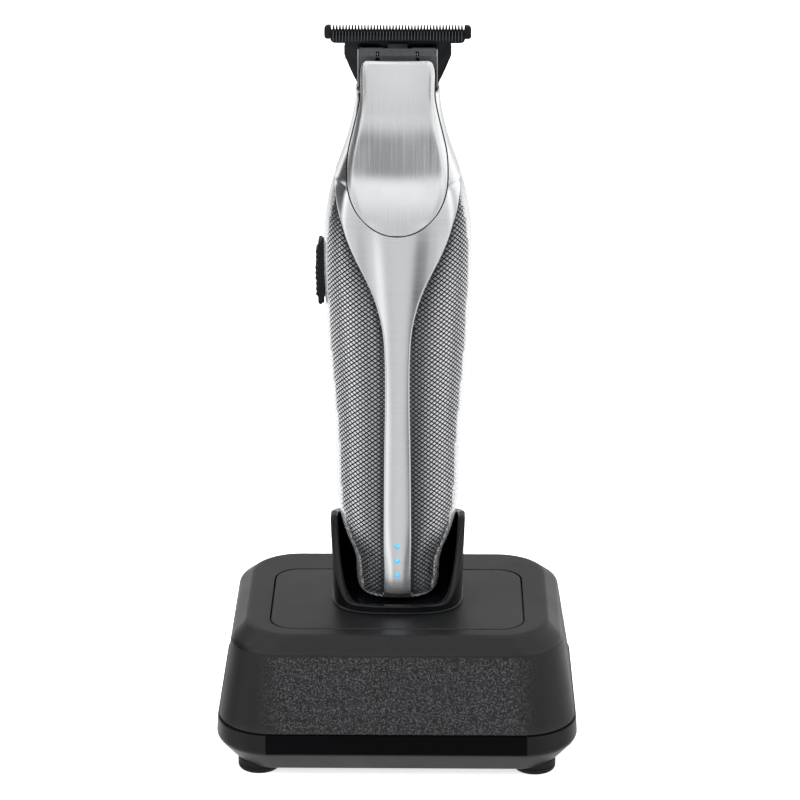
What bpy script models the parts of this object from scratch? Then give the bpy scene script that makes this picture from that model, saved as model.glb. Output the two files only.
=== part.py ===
"""Cordless T-blade hair trimmer standing in its charging dock.

Axes: +X to the viewer's right, -Y towards the viewer, +Z up. The origin is on the table,
below the centre of the dock. Dimensions below are in millimetres.
"""

import math

import bmesh
import bpy
from mathutils import Matrix

MM = 0.001

# ---------------------------------------------------------------- trimmer body
SPLIT_Y = 2.0
WALL = 2.0
GAP = 0.3
# share of the depth that is left once half the parting gap is taken off
SHELL_DEPTH_SHARE = 0.995
# keeps the ends of a half section on its own side of the parting plane
END_ANGLE = 0.0001
BODY_BOTTOM = 44.3
BODY_TOP = 188.4
# height, half width, depth in front of the parting plane, depth behind it
STATIONS = (
    (44.3, 8.9, 10.0, 9.5),
    (45.0, 10.5, 11.8, 11.2),
    (46.2, 11.4, 12.8, 12.2),
    (48.5, 11.6, 13.1, 12.6),
    (52.0, 11.8, 13.2, 12.8),
    (56.0, 12.7, 13.2, 12.9),
    (60.0, 14.0, 13.2, 13.0),
    (65.0, 15.6, 13.3, 13.1),
    (70.0, 16.5, 13.35, 13.2),
    (80.0, 17.0, 13.5, 13.5),
    (92.0, 17.5, 13.8, 13.9),
    (105.0, 18.4, 14.4, 14.6),
    (117.0, 19.3, 15.1, 15.3),
    (130.0, 19.9, 16.0, 15.9),
    (142.0, 20.2, 16.6, 16.2),
    (150.0, 19.9, 16.8, 16.1),
    (156.0, 19.1, 16.7, 15.7),
    (162.0, 17.8, 16.3, 15.0),
    (167.0, 16.1, 15.8, 14.2),
    (172.0, 14.3, 15.0, 13.2),
    (178.0, 12.6, 14.0, 12.1),
    (184.0, 11.5, 12.8, 11.0),
    (190.0, 11.2, 11.6, 10.0),
    (198.0, 11.1, 10.0, 9.0),
)
# height, squareness of the front half section, of the back half section
SQUARENESS = (
    (44.0, 2.3, 2.3),
    (130.0, 2.3, 2.3),
    (156.0, 2.8, 2.5),
    (170.0, 3.4, 2.8),
    (182.0, 4.2, 3.0),
    (200.0, 4.4, 3.0),
)

# ---------------------------------------------------------------- lid, nose and blades
# height, half width of the lid's outline, from the top edge down to the tip of its arc
LID_OUTLINE = (
    (197.0, 8.6),
    (196.6, 9.2),
    (195.6, 9.5),
    (186.6, 9.9),
    (182.0, 10.8),
    (177.8, 11.8),
    (171.8, 13.1),
    (167.7, 13.35),
    (163.1, 13.1),
    (159.1, 11.9),
    (155.8, 9.8),
    (153.0, 6.7),
    (151.7, 4.0),
    (151.0, 0.0),
)
LID_THICKNESS = 1.2
LID_PROUD = 0.25
# height of each housing screw, Y of its post's root in front, Y of its head's seat behind
HOUSING_SCREWS = (("lower", 66.0, -10.0, 14.0), ("upper", 139.5, -13.2, 16.9))
HEAD_R = 2.2
HEAD_HEIGHT = 1.4
SHANK_R = 0.9

BLADE_TIP_Z = 204.8
FIXED_BLADE_HALF = 19.5
FIXED_BLADE_Y = (-0.5, 1.3)
MOVING_BLADE_HALF = 17.9
MOVING_BLADE_Y = (-2.0, -0.8)
MOVING_BLADE_Z = (200.4, 203.7)
TOOTH_PITCH = 0.83
TOOTH_COUNT = 42
# half widths of a tooth, as shares of the pitch
TOOTH_ROOT_SHARE = 0.34
FIXED_TIP_SHARE = 0.16
MOVING_TIP_SHARE = 0.18
TOOTH_ROOT_Z = 203.1
EAR_BOTTOM_Z = 201.1
EAR_INNER_X = 17.75
BLADE_SCREW_X = 5.3
BLADE_SCREW_Z = 197.3
NOSE_TOP_Z = 199.4
NOSE_FRONT_Y = -4.4

# ---------------------------------------------------------------- drive
MOTOR_R = 8.5
MOTOR_Z = (148.0, 174.5)
CRANK_THROW = 1.2
CRANK_PIN_R = 0.9
CRANK_PIN_PLAY = 0.35
YOKE_Z = (182.0, 184.6)
YOKE_RISER_HALF = 2.2

# ---------------------------------------------------------------- power slider, lights
SLIDER_Z = (127.0, 145.9)
SLIDER_X = (-20.55, -21.75)
LIGHT_Z = (60.2, 55.9, 51.6)
LIGHT_R = 0.7

# ---------------------------------------------------------------- dock
DOCK_TOP_Z = 41.5
# height, half width, half depth, corner radius
DOCK_TOP_FACE = (41.5, 41.7, 29.45, 13.2)
DOCK_SHOULDER = (37.5, 45.9, 33.65, 14.2)
DOCK_SEAM = (15.15, 49.6, 37.3, 15.0)
BAND_TOP = (14.85, 49.95, 37.65, 15.0)
BAND_BOTTOM = (9.5, 50.3, 38.0, 15.2)
DOCK_UNDERSIDE = (2.3, 44.5, 32.2, 11.0)
DOCK_WALL = 2.2
FLOOR_TOP_Z = 4.9
PLATE_HALF = (35.0, 21.05)
PLATE_CENTRE_Y = -3.8
PLATE_THICKNESS = 1.6
# the opening in the dock's top under the cup: X, Y and Z ranges
WINDOW = ((-9.8, 9.8), (-2.8, 6.8), (30.0, 50.0))
STRIP_HALF = 35.8
STRIP_THICKNESS = 0.7
FOOT_X = 38.4
FOOT_Y = 25.2
FOOT_R = 5.9
FOOT_HEIGHT = 3.5
DOCK_SCREWS = ((-29.0, -19.0), (29.0, -19.0), (-29.0, 22.0), (29.0, 22.0))
INLET_Z = 23.0
INLET_HOLE_R = 3.1

# ---------------------------------------------------------------- cradle and charging contacts
CRADLE_HALF = (18.1, 16.3)
CRADLE_CENTRE_Y = 1.2
CRADLE_SQUARENESS = 3.2
CRADLE_FLARE = 0.8
CRADLE_LIP_Z = 44.0
CRADLE_PRONG_Z = 65.4
CRADLE_WALL = 2.0
CRADLE_FLOOR = (41.8, 42.9)
CRADLE_SEAT_Z = 43.7
CONTACT_X = 4.0
PIN_R = 0.8
PIN_TOP_Z = 43.9

COLOURS = {
    "satin_metal": ((0.62, 0.63, 0.65), 1.0, 0.32),
    "brushed_metal": ((0.70, 0.71, 0.73), 1.0, 0.28),
    "black_steel": ((0.035, 0.037, 0.042), 1.0, 0.38),
    "bright_steel": ((0.75, 0.76, 0.78), 1.0, 0.22),
    "black_plastic": ((0.022, 0.023, 0.025), 0.0, 0.48),
    "gloss_black": ((0.010, 0.010, 0.012), 0.0, 0.15),
    "black_rubber": ((0.018, 0.018, 0.018), 0.0, 0.75),
    "grey_plastic": ((0.09, 0.095, 0.10), 0.0, 0.50),
    "circuit_green": ((0.02, 0.16, 0.07), 0.0, 0.45),
    "battery_blue": ((0.05, 0.16, 0.42), 0.0, 0.35),
    "copper_gold": ((0.83, 0.62, 0.24), 1.0, 0.28),
    "light_blue": ((0.06, 0.55, 0.95), 0.0, 0.20),
    "lead_red": ((0.55, 0.03, 0.02), 0.0, 0.45),
    "lead_black": ((0.02, 0.02, 0.02), 0.0, 0.45),
}


# ---------------------------------------------------------------- general helpers
def clear_scene():
    for obj in list(bpy.data.objects):
        bpy.data.objects.remove(obj, do_unlink=True)


def make_material(name):
    colour, metallic, roughness = COLOURS[name]
    material = bpy.data.materials.new(name)
    material.use_nodes = True
    shader = material.node_tree.nodes["Principled BSDF"]
    shader.inputs["Base Color"].default_value = (*colour, 1.0)
    shader.inputs["Metallic"].default_value = metallic
    shader.inputs["Roughness"].default_value = roughness
    material.diffuse_color = (*colour, 1.0)
    return material


def blend_table(table, z, column):
    """The value of a table's column at height z, running smoothly between its rows."""
    if z <= table[0][0]:
        return table[0][column]
    for low, high in zip(table, table[1:]):
        if z <= high[0]:
            share = (z - low[0]) / (high[0] - low[0])
            return low[column] + share * (high[column] - low[column])
    return table[-1][column]


def polar_oval(half, depth, squareness, angle):
    """A point of a superellipse in the direction of the angle."""
    c = abs(math.cos(angle))
    s = abs(math.sin(angle))
    reach = ((c / half) ** squareness + (s / depth) ** squareness) ** (-1.0 / squareness)
    return reach * math.cos(angle), reach * math.sin(angle)


def body_point(z, angle, inset):
    """A point of the trimmer's outer skin, moved in by the inset. Angles over pi are in front."""
    behind = math.sin(angle) >= 0.0
    half = blend_table(STATIONS, z, 1) - inset
    depth = blend_table(STATIONS, z, 3 if behind else 2) - inset
    squareness = blend_table(SQUARENESS, z, 2 if behind else 1)
    return polar_oval(half, depth, squareness, angle)


def new_object(name, data, material=None):
    obj = bpy.data.objects.new(name, data)
    PARTS.objects.link(obj)
    if material:
        data.materials.clear()
        data.materials.append(MATERIALS[material])
    return obj


def object_from_bmesh(name, shape, material):
    mesh = bpy.data.meshes.new(name)
    shape.to_mesh(mesh)
    shape.free()
    obj = new_object(name, mesh, material)
    tidy_mesh(obj)
    return obj


def tidy_mesh(obj, smooth_angle=35.0):
    """Outward normals, and smooth shading up to the given edge angle."""
    shape = bmesh.new()
    shape.from_mesh(obj.data)
    bmesh.ops.remove_doubles(shape, verts=shape.verts, dist=0.000001)
    bmesh.ops.recalc_face_normals(shape, faces=shape.faces)
    shape.to_mesh(obj.data)
    shape.free()
    obj.data.polygons.foreach_set("use_smooth", [True] * len(obj.data.polygons))
    obj.data.set_sharp_from_angle(angle=math.radians(smooth_angle))


def apply_modifiers(obj):
    graph = bpy.context.evaluated_depsgraph_get()
    mesh = bpy.data.meshes.new_from_object(obj.evaluated_get(graph))
    obj.modifiers.clear()
    obj.data = mesh


def combine(obj, other, operation, smooth_angle=35.0):
    """Cuts or joins the other solid, which is then removed."""
    modifier = obj.modifiers.new(operation.lower(), "BOOLEAN")
    modifier.operation = operation
    modifier.solver = "EXACT"
    modifier.object = other
    apply_modifiers(obj)
    bpy.data.objects.remove(other, do_unlink=True)
    tidy_mesh(obj, smooth_angle)
    return obj


def cut(obj, other):
    return combine(obj, other, "DIFFERENCE")


def join(obj, other):
    return combine(obj, other, "UNION")


def skin(name, rings, material, smooth_angle=35.0):
    """A closed body through rings of equal length, with its first and last ring capped."""
    count = len(rings[0])
    vertices = [(x * MM, y * MM, z * MM) for ring in rings for x, y, z in ring]
    faces = [list(range(count))]
    for level in range(len(rings) - 1):
        for i in range(count):
            j = (i + 1) % count
            low = level * count
            faces.append([low + i, low + j, low + count + j, low + count + i])
    faces.append([(len(rings) - 1) * count + i for i in range(count)])
    mesh = bpy.data.meshes.new(name)
    mesh.from_pydata(vertices, [], faces)
    obj = new_object(name, mesh, material)
    tidy_mesh(obj, smooth_angle)
    return obj


def block(name, x_range, y_range, z_range, material=None):
    spans = (x_range, y_range, z_range)
    centre = Matrix.Translation([(low + high) / 2 * MM for low, high in spans])
    sizes = [(high - low) * MM for low, high in spans]
    shape = bmesh.new()
    bmesh.ops.create_cube(shape, size=1.0, matrix=centre @ Matrix.Diagonal((*sizes, 1.0)))
    return object_from_bmesh(name, shape, material)


def curve_to_mesh(name, curve, material, matrix=None, smooth_angle=35.0):
    """The welded mesh of a curve object, which is then removed."""
    path = bpy.data.objects.new(name + "_curve", curve)
    PARTS.objects.link(path)
    graph = bpy.context.evaluated_depsgraph_get()
    mesh = bpy.data.meshes.new_from_object(path.evaluated_get(graph))
    bpy.data.objects.remove(path, do_unlink=True)
    if matrix:
        mesh.transform(matrix)
    obj = new_object(name, mesh, material)
    tidy_mesh(obj, smooth_angle)
    return obj


def plate(name, outline, span, material=None, upright=False, smooth_angle=35.0):
    """A flat outline in X and Y given thickness along Z, or in X and Z along Y when upright."""
    low, high = span
    curve = bpy.data.curves.new(name, "CURVE")
    curve.dimensions = "2D"
    curve.fill_mode = "BOTH"
    curve.extrude = (high - low) / 2 * MM
    spline = curve.splines.new("POLY")
    spline.points.add(len(outline) - 1)
    for target, (across, up) in zip(spline.points, outline):
        target.co = (across * MM, up * MM, 0.0, 1.0)
    spline.use_cyclic_u = True
    middle = (low + high) / 2 * MM
    if upright:
        place = Matrix.Translation((0.0, middle, 0.0)) @ Matrix.Rotation(math.pi / 2, 4, "X")
    else:
        place = Matrix.Translation((0.0, 0.0, middle))
    return curve_to_mesh(name, curve, material, place, smooth_angle)


def plate_xz(name, outline, y_range, material=None, smooth_angle=35.0):
    return plate(name, outline, y_range, material, True, smooth_angle)


def plate_xy(name, outline, z_range, material=None):
    return plate(name, outline, z_range, material)


def rounded_rectangle(half_x, half_y, radius, steps=5, centre=(0.0, 0.0)):
    points = []
    for sx, sy, start in ((1, -1, -90), (1, 1, 0), (-1, 1, 90), (-1, -1, 180)):
        for i in range(steps + 1):
            angle = math.radians(start + 90.0 * i / steps)
            x = centre[0] + sx * (half_x - radius) + radius * math.cos(angle)
            y = centre[1] + sy * (half_y - radius) + radius * math.sin(angle)
            points.append((x, y))
    return points


def turned(name, profile, centre, material=None, axis="Z", segments=16):
    """A solid of revolution. The profile is (radius, height), from the top of the axis down."""
    mesh = bpy.data.meshes.new(name)
    points = [(r * MM, 0.0, h * MM) for r, h in profile]
    mesh.from_pydata(points, [(i, i + 1) for i in range(len(points) - 1)], [])
    obj = new_object(name, mesh)
    screw = obj.modifiers.new("screw", "SCREW")
    screw.steps = segments
    screw.render_steps = segments
    screw.use_merge_vertices = True
    screw.merge_threshold = 0.00001
    apply_modifiers(obj)
    if material:
        obj.data.materials.clear()
        obj.data.materials.append(MATERIALS[material])
    obj.data.transform(along(axis, centre))
    tidy_mesh(obj)
    return obj


def along(axis, centre):
    """The matrix that turns +Z to +Y where the axis is Y, and then moves to the centre."""
    place = Matrix.Translation([value * MM for value in centre])
    if axis == "Y":
        return place @ Matrix.Rotation(-math.pi / 2, 4, "X")
    return place


def rod(name, radius, span, centre, material=None, axis="Z", segments=16):
    """A plain cylinder. The span is its two heights along the axis, measured from the centre."""
    low, high = span
    shape = bmesh.new()
    bmesh.ops.create_cone(
        shape,
        cap_ends=True,
        segments=segments,
        radius1=radius * MM,
        radius2=radius * MM,
        depth=(high - low) * MM,
        matrix=along(axis, centre) @ Matrix.Translation((0.0, 0.0, (low + high) / 2 * MM)),
    )
    return object_from_bmesh(name, shape, material)


def wire(name, points, radius, material):
    curve = bpy.data.curves.new(name, "CURVE")
    curve.dimensions = "3D"
    curve.bevel_depth = radius * MM
    curve.bevel_resolution = 1
    curve.use_fill_caps = True
    spline = curve.splines.new("POLY")
    spline.points.add(len(points) - 1)
    for target, (x, y, z) in zip(spline.points, points):
        target.co = (x * MM, y * MM, z * MM, 1.0)
    return curve_to_mesh(name, curve, material)


# ---------------------------------------------------------------- trimmer housing
def body_loft(name, heights, inset, material=None, segments=36):
    """The whole section of the trimmer's body between the first and last height."""
    rings = []
    for z in heights:
        ring = []
        for i in range(segments):
            x, y = body_point(z, 2.0 * math.pi * i / segments, inset)
            ring.append((x, y + SPLIT_Y, z))
        rings.append(ring)
    return skin(name, rings, material)


def half_shell(name, front, heights, segments=16):
    """One half of the housing: an open shell on one side of the parting plane."""
    side = -1.0 if front else 1.0
    rings = []
    for z in heights:
        ring = []
        for inset, order in ((0.0, range(segments + 1)), (WALL, range(segments, -1, -1))):
            for i in order:
                angle = min(max(math.pi * i / segments, END_ANGLE), math.pi - END_ANGLE)
                x, y = body_point(z, side * angle, inset)
                ring.append((x, SPLIT_Y + side * GAP / 2 + y * SHELL_DEPTH_SHARE, z))
        rings.append(ring)
    return skin(name, rings, "satin_metal")


def lid_outline(grow):
    right = [(half + grow, z) for z, half in LID_OUTLINE[:-1]]
    right[0] = (right[0][0], right[0][1] + grow)
    tip = (0.0, LID_OUTLINE[-1][0] - grow)
    left = [(-x, z) for x, z in reversed(right)]
    return right + [tip] + left


def station_heights(low, high):
    inner = [row[0] for row in STATIONS if low + 0.2 < row[0] < high - 0.2]
    return [low] + inner + [high]


def make_front_housing():
    shell = half_shell("front_housing", True, station_heights(BODY_BOTTOM, BODY_TOP))
    pocket = plate_xz("pocket", lid_outline(0.3), (-22.0, 1.0))
    core = body_loft("core", station_heights(140.0, 198.0), 1.25)
    cut(pocket, core)
    cut(shell, pocket)
    for z in LIGHT_Z:
        cut(shell, rod("light_hole", LIGHT_R + 0.25, (-6.0, 6.0), (0, -10.0, z), None, "Y", 12))
    cut(shell, slider_slot())
    for _, z, root, _ in HOUSING_SCREWS:
        profile = [(1.2, 1.7), (2.4, 1.7), (2.4, root), (1.2, root), (1.2, 1.7)]
        join(shell, turned("post", profile, (0.0, 0.0, z), None, "Y", 12))
    return shell


def make_back_housing():
    shell = half_shell("back_housing", False, station_heights(BODY_BOTTOM, BODY_TOP))
    cut(shell, slider_slot())
    for _, z, _, seat in HOUSING_SCREWS:
        join(shell, rod("post", 3.4, (3.2, seat), (0.0, 0.0, z), None, "Y", 14))
        cut(shell, rod("shank_hole", 1.2, (0.0, 22.0), (0.0, 0.0, z), None, "Y", 12))
        cut(shell, rod("head_hole", 2.6, (seat - 2.4, 24.0), (0.0, 0.0, z), None, "Y", 14))
    return shell


def make_housing_screws():
    for name, z, _, seat in HOUSING_SCREWS:
        under = seat - 2.1
        end = under - 17.0
        profile = [
            (0.0, under + HEAD_HEIGHT),
            (HEAD_R, under + HEAD_HEIGHT),
            (HEAD_R, under),
            (SHANK_R, under),
            (SHANK_R, end),
            (0.0, end),
        ]
        turned("housing_screw_" + name, profile, (0.0, 0.0, z), "bright_steel", "Y", 12)


def make_front_lid():
    lid = body_loft("front_lid", station_heights(148.0, 197.9), -LID_PROUD, "brushed_metal")
    cut(lid, body_loft("under", station_heights(146.0, 199.0), LID_THICKNESS - LID_PROUD))
    return combine(lid, plate_xz("outline", lid_outline(0.0), (-22.0, 0.5)), "INTERSECT")


# ---------------------------------------------------------------- nose and blades
def make_nose_bracket():
    plug = body_loft("nose_bracket", (181.0, 184.5, 188.1), WALL + GAP, "black_plastic", 24)
    cut(plug, block("gallery", (-7.0, 7.0), (-12.0, 1.6), (180.0, 190.0)))
    cut(plug, block("trim", (-12.0, 12.0), (-12.0, -4.5), (180.0, 190.0)))
    right = [(10.9, 188.7), (13.1, 192.4), (14.3, 195.7), (14.3, 199.0)]
    outline = right + [(-x, z) for x, z in reversed(right)]
    join(plug, plate_xz("wings", outline, (1.6, 8.6)))
    join(plug, block("neck", (-6.5, 6.5), (3.0, 8.4), (187.8, 189.4)))
    join(plug, block("cheeks", (-10.2, 10.2), (NOSE_FRONT_Y, 2.0), (188.7, 195.4)))
    join(plug, block("bar", (-10.2, 10.2), (NOSE_FRONT_Y, -2.4), (194.0, NOSE_TOP_Z)))
    reach = YOKE_RISER_HALF + CRANK_THROW + 0.4
    cut(plug, block("channel", (-reach, reach), (-3.3, 1.6), (180.0, 202.0)))
    cut(plug, block("crank_room", (-7.0, 7.0), (-5.2, 8.0), (180.0, 187.6)))
    for side in (-1, 1):
        x = side * BLADE_SCREW_X
        cut(plug, block("notch", (x - 1.0, x + 1.0), (-8.0, -3.4), (BLADE_SCREW_Z - 1.6, 199.0)))
        cut(plug, rod("screw_hole", 1.25, (-8.0, 14.0), (x, 0.0, BLADE_SCREW_Z), None, "Y", 12))
        cut(plug, rod("head_seat", 2.1, (7.0, 14.0), (x, 0.0, BLADE_SCREW_Z), None, "Y", 14))
    return plug


def comb_edge(root_z, tip_z, tip_share):
    """The toothed edge from left to right: each tooth narrows from its root to its tip."""
    points = []
    for i in range(TOOTH_COUNT):
        centre = (i - (TOOTH_COUNT - 1) / 2.0) * TOOTH_PITCH
        root = TOOTH_PITCH * TOOTH_ROOT_SHARE
        tip = TOOTH_PITCH * tip_share
        points.append((centre - root, root_z))
        points.append((centre - tip, tip_z))
        points.append((centre + tip, tip_z))
        points.append((centre + root, root_z))
    return points


def make_fixed_blade():
    edge = comb_edge(TOOTH_ROOT_Z, BLADE_TIP_Z, FIXED_TIP_SHARE)
    outline = [
        (-14.0, 195.9),
        (-14.0, EAR_BOTTOM_Z - 0.5),
        (-EAR_INNER_X, EAR_BOTTOM_Z - 0.2),
        (-FIXED_BLADE_HALF + 0.5, EAR_BOTTOM_Z),
        (-FIXED_BLADE_HALF, EAR_BOTTOM_Z + 0.5),
        (-FIXED_BLADE_HALF, BLADE_TIP_Z - 0.5),
        (-FIXED_BLADE_HALF + 0.5, BLADE_TIP_Z),
        (-EAR_INNER_X, BLADE_TIP_Z),
        (-EAR_INNER_X + 0.15, TOOTH_ROOT_Z),
    ]
    mirrored = [(-x, z) for x, z in reversed(outline)]
    blade = plate_xz("fixed_blade", outline + edge + mirrored, FIXED_BLADE_Y, "black_steel", 20.0)
    for side in (-1, 1):
        x = side * BLADE_SCREW_X
        cut(blade, rod("screw_hole", 1.2, (-4.0, 4.0), (x, 0.0, BLADE_SCREW_Z), None, "Y", 12))
    return blade


def make_moving_blade():
    low, high = MOVING_BLADE_Z
    edge = comb_edge(high - 1.5, high, MOVING_TIP_SHARE)
    half = MOVING_BLADE_HALF
    left = [(-half + 1.0, low), (-half + 0.3, low + 0.3), (-half, low + 1.0), (-half, high - 1.4)]
    right = [(-x, z) for x, z in reversed(left)]
    return plate_xz("moving_blade", left + edge + right, MOVING_BLADE_Y, "black_steel", 20.0)


def make_blade_screws():
    for side, name in ((-1, "left"), (1, "right")):
        profile = [(0.0, 8.6), (1.8, 8.6), (1.8, 7.3), (0.9, 7.3), (0.9, -4.0), (0.0, -4.0)]
        centre = (side * BLADE_SCREW_X, 0.0, BLADE_SCREW_Z)
        turned("blade_screw_" + name, profile, centre, "bright_steel", "Y", 12)


def make_tension_spring():
    """A bent leaf that presses the moving blade against the fixed one."""
    half = 2.6
    profile = [
        (-3.0, 195.6),
        (-2.7, 195.6),
        (-2.7, 200.0),
        (-2.3, 200.6),
        (-2.3, 201.8),
        (-2.6, 201.8),
        (-2.6, 200.7),
        (-3.0, 200.1),
    ]
    rings = [[(x, y, z) for y, z in profile] for x in (-half, half)]
    return skin("tension_spring", rings, "bright_steel")


# ---------------------------------------------------------------- drive
def make_motor():
    low, high = MOTOR_Z
    can = [
        (2.0, high),
        (MOTOR_R - 0.6, high),
        (MOTOR_R, high - 0.6),
        (MOTOR_R, low + 0.6),
        (MOTOR_R - 0.6, low),
        (2.0, low),
        (2.0, high),
    ]
    turned("motor_can", can, (0.0, SPLIT_Y, 0.0), "bright_steel", "Z", 24)
    shaft = [(0.0, 179.6), (1.0, 179.6), (1.0, 173.0), (1.7, 173.0), (1.7, 149.5), (0.0, 149.5)]
    turned("motor_rotor", shaft, (0.0, SPLIT_Y, 0.0), "bright_steel", "Z", 12)


def make_motor_bracket():
    ring = [(2.6, 176.2), (9.2, 176.2), (9.2, 174.8), (2.6, 174.8), (2.6, 176.2)]
    return turned("motor_bracket", ring, (0.0, SPLIT_Y, 0.0), "grey_plastic", "Z", 24)


def make_eccentric_cam():
    """A disc on the motor's shaft with the crank pin, which stands forward at rest."""
    disc = [(1.25, 180.0), (3.4, 180.0), (3.4, 176.9), (1.25, 176.9), (1.25, 180.0)]
    cam = turned("eccentric_cam", disc, (0.0, SPLIT_Y, 0.0), "copper_gold", "Z", 16)
    join(cam, rod("web", 3.4, (180.0, 181.2), (0.0, SPLIT_Y, 0.0), None, "Z", 16))
    pin = rod("pin", CRANK_PIN_R, (180.5, 186.4), (0.0, SPLIT_Y - CRANK_THROW, 0.0), None, "Z", 12)
    return join(cam, pin)


def make_drive_yoke():
    """A slotted plate that the crank pin moves from side to side, with a riser to the blade."""
    low, high = YOKE_Z
    plate = block("drive_yoke", (-4.2, 4.2), (-2.2, 4.6), (low, high), "grey_plastic")
    play = CRANK_PIN_R + CRANK_PIN_PLAY
    slot = [(-play, -0.8), (play, -0.8), (play, 3.2), (-play, 3.2)]
    cut(plate, plate_xy("slot", slot, (low - 2.0, high + 2.0)))
    half = YOKE_RISER_HALF
    join(plate, block("riser", (-half, half), (-2.2, -1.1), (high - 0.4, 200.1)))
    return plate


# ---------------------------------------------------------------- electrics
def make_battery():
    profile = [
        (0.0, 123.2),
        (2.6, 123.2),
        (2.6, 122.3),
        (6.9, 122.3),
        (7.2, 121.8),
        (7.2, 72.6),
        (6.9, 72.0),
        (0.0, 72.0),
    ]
    return turned("battery_cell", profile, (0.0, 4.8, 0.0), "battery_blue", "Z", 20)


def make_main_board():
    board = block("main_circuit_board", (-7.2, 7.2), (-5.2, -4.0), (49.5, 126.0), "circuit_green")
    cut(board, rod("post_hole", 3.0, (-3.0, 3.0), (0.0, -4.6, 66.0), None, "Y", 12))
    return board


def make_lights():
    for i, z in enumerate(LIGHT_Z):
        rod("status_light_%d" % (i + 1), LIGHT_R, (-11.25, -5.5), (0, 0, z), "light_blue", "Y", 12)


def slider_slot():
    return block("slot", (-26.0, -12.0), (SPLIT_Y - 1.4, SPLIT_Y + 1.4), (133.2, 143.4))


def make_power_slider():
    """The ribbed thumb slider outside the housing, with the neck that goes in through its slot."""
    low, high = SLIDER_Z
    inner, outer = SLIDER_X
    outline = [(inner, low), (outer + 0.5, low), (outer, low + 0.8)]
    for i in range(9):
        centre = low + 2.85 + i * 1.65
        crest = outer - (0.6 if 3 <= i <= 5 else 0.3)
        outline += [(outer, centre - 0.5), (crest, centre - 0.25)]
        outline += [(crest, centre + 0.25), (outer, centre + 0.5)]
    outline += [(outer, high - 0.8), (outer + 0.5, high), (inner, high)]
    pad = plate_xz(
        "power_slider", outline, (SPLIT_Y - 3.4, SPLIT_Y + 3.4), "black_plastic", 20.0
    )
    neck = block("neck", (-20.8, -16.6), (SPLIT_Y - 1.0, SPLIT_Y + 1.0), (133.6, 138.4))
    return join(pad, neck)


def make_switch():
    block("switch_carrier", (-16.3, -15.1), (-1.5, 5.5), (131.0, 141.0), "grey_plastic")
    block("switch_module", (-14.8, -12.0), (-0.5, 4.5), (131.0, 146.0), "bright_steel")


def make_leads():
    for side, name in ((-1, "red"), (1, "black")):
        x = side * 3.8
        path = [
            (x, 0.2, 147.5),
            (x, -0.6, 145.0),
            (x, -5.5, 137.0),
            (x, -6.3, 128.0),
            (x, -6.1, 118.0),
            (x, -5.95, 112.0),
        ]
        wire("motor_lead_" + name, path, 0.45, "lead_" + name)


def make_tail():
    cap = body_loft("tail_cap", (44.6, 46.2, 47.6), WALL + GAP, "black_plastic", 28)
    for side, name in ((-1, "left"), (1, "right")):
        x = side * CONTACT_X
        cut(cap, block("slot", (x - 1.6, x + 1.6), (0.2, 3.8), (40.0, 50.0)))
        block(
            "trimmer_contact_" + name, (x - 1.3, x + 1.3), (0.5, 3.5), (44.2, 48.6), "copper_gold"
        )
    return cap


# ---------------------------------------------------------------- dock
def dock_ring(level, inset=0.0, z=None, steps=5):
    height, half_x, half_y, radius = level
    outline = rounded_rectangle(half_x - inset, half_y - inset, radius - inset * 0.8, steps)
    return [(x, y, height if z is None else z) for x, y in outline]


def screw_posts(name, radius, z_range, segments=12):
    """Four rods at the dock's screw positions, as one solid to cut with or to join."""
    rods = [
        rod(name + str(i), radius, z_range, (x, y, 0.0), None, "Z", segments)
        for i, (x, y) in enumerate(DOCK_SCREWS)
    ]
    first = rods[0]
    shape = bmesh.new()
    for part in rods:
        shape.from_mesh(part.data)
    shape.to_mesh(first.data)
    shape.free()
    for part in rods[1:]:
        bpy.data.objects.remove(part, do_unlink=True)
    return first


def make_dock_housing():
    rings = [
        dock_ring(DOCK_TOP_FACE, DOCK_WALL, DOCK_TOP_Z - 3.4),
        dock_ring(DOCK_SHOULDER, DOCK_WALL, 36.5),
        dock_ring(DOCK_SEAM, DOCK_WALL),
        dock_ring(DOCK_SEAM),
        dock_ring(DOCK_SHOULDER),
        dock_ring(DOCK_TOP_FACE),
    ]
    shell = skin("dock_housing", rings, "black_plastic", 20.0)
    recess = rounded_rectangle(
        PLATE_HALF[0] + 0.25, PLATE_HALF[1] + 0.25, 7.0, 5, (0.0, PLATE_CENTRE_Y)
    )
    cut(shell, plate_xy("recess", recess, (DOCK_TOP_Z - PLATE_THICKNESS - GAP, 50.0)))
    cut(shell, block("window", *WINDOW))
    join(shell, screw_posts("post", 3.2, (5.3, 39.0)))
    cut(shell, screw_posts("bore", 1.6, (3.0, 16.0)))
    cut(shell, block("inlet", (-5.6, 5.6), (30.0, 42.0), (INLET_Z - 4.8, INLET_Z + 4.8)))
    return shell


def make_top_plate():
    outline = rounded_rectangle(PLATE_HALF[0], PLATE_HALF[1], 6.8, 5, (0.0, PLATE_CENTRE_Y))
    plate = plate_xy(
        "dock_top_plate", outline, (DOCK_TOP_Z - PLATE_THICKNESS, DOCK_TOP_Z), "black_plastic"
    )
    return cut(plate, block("window", *WINDOW))


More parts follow.
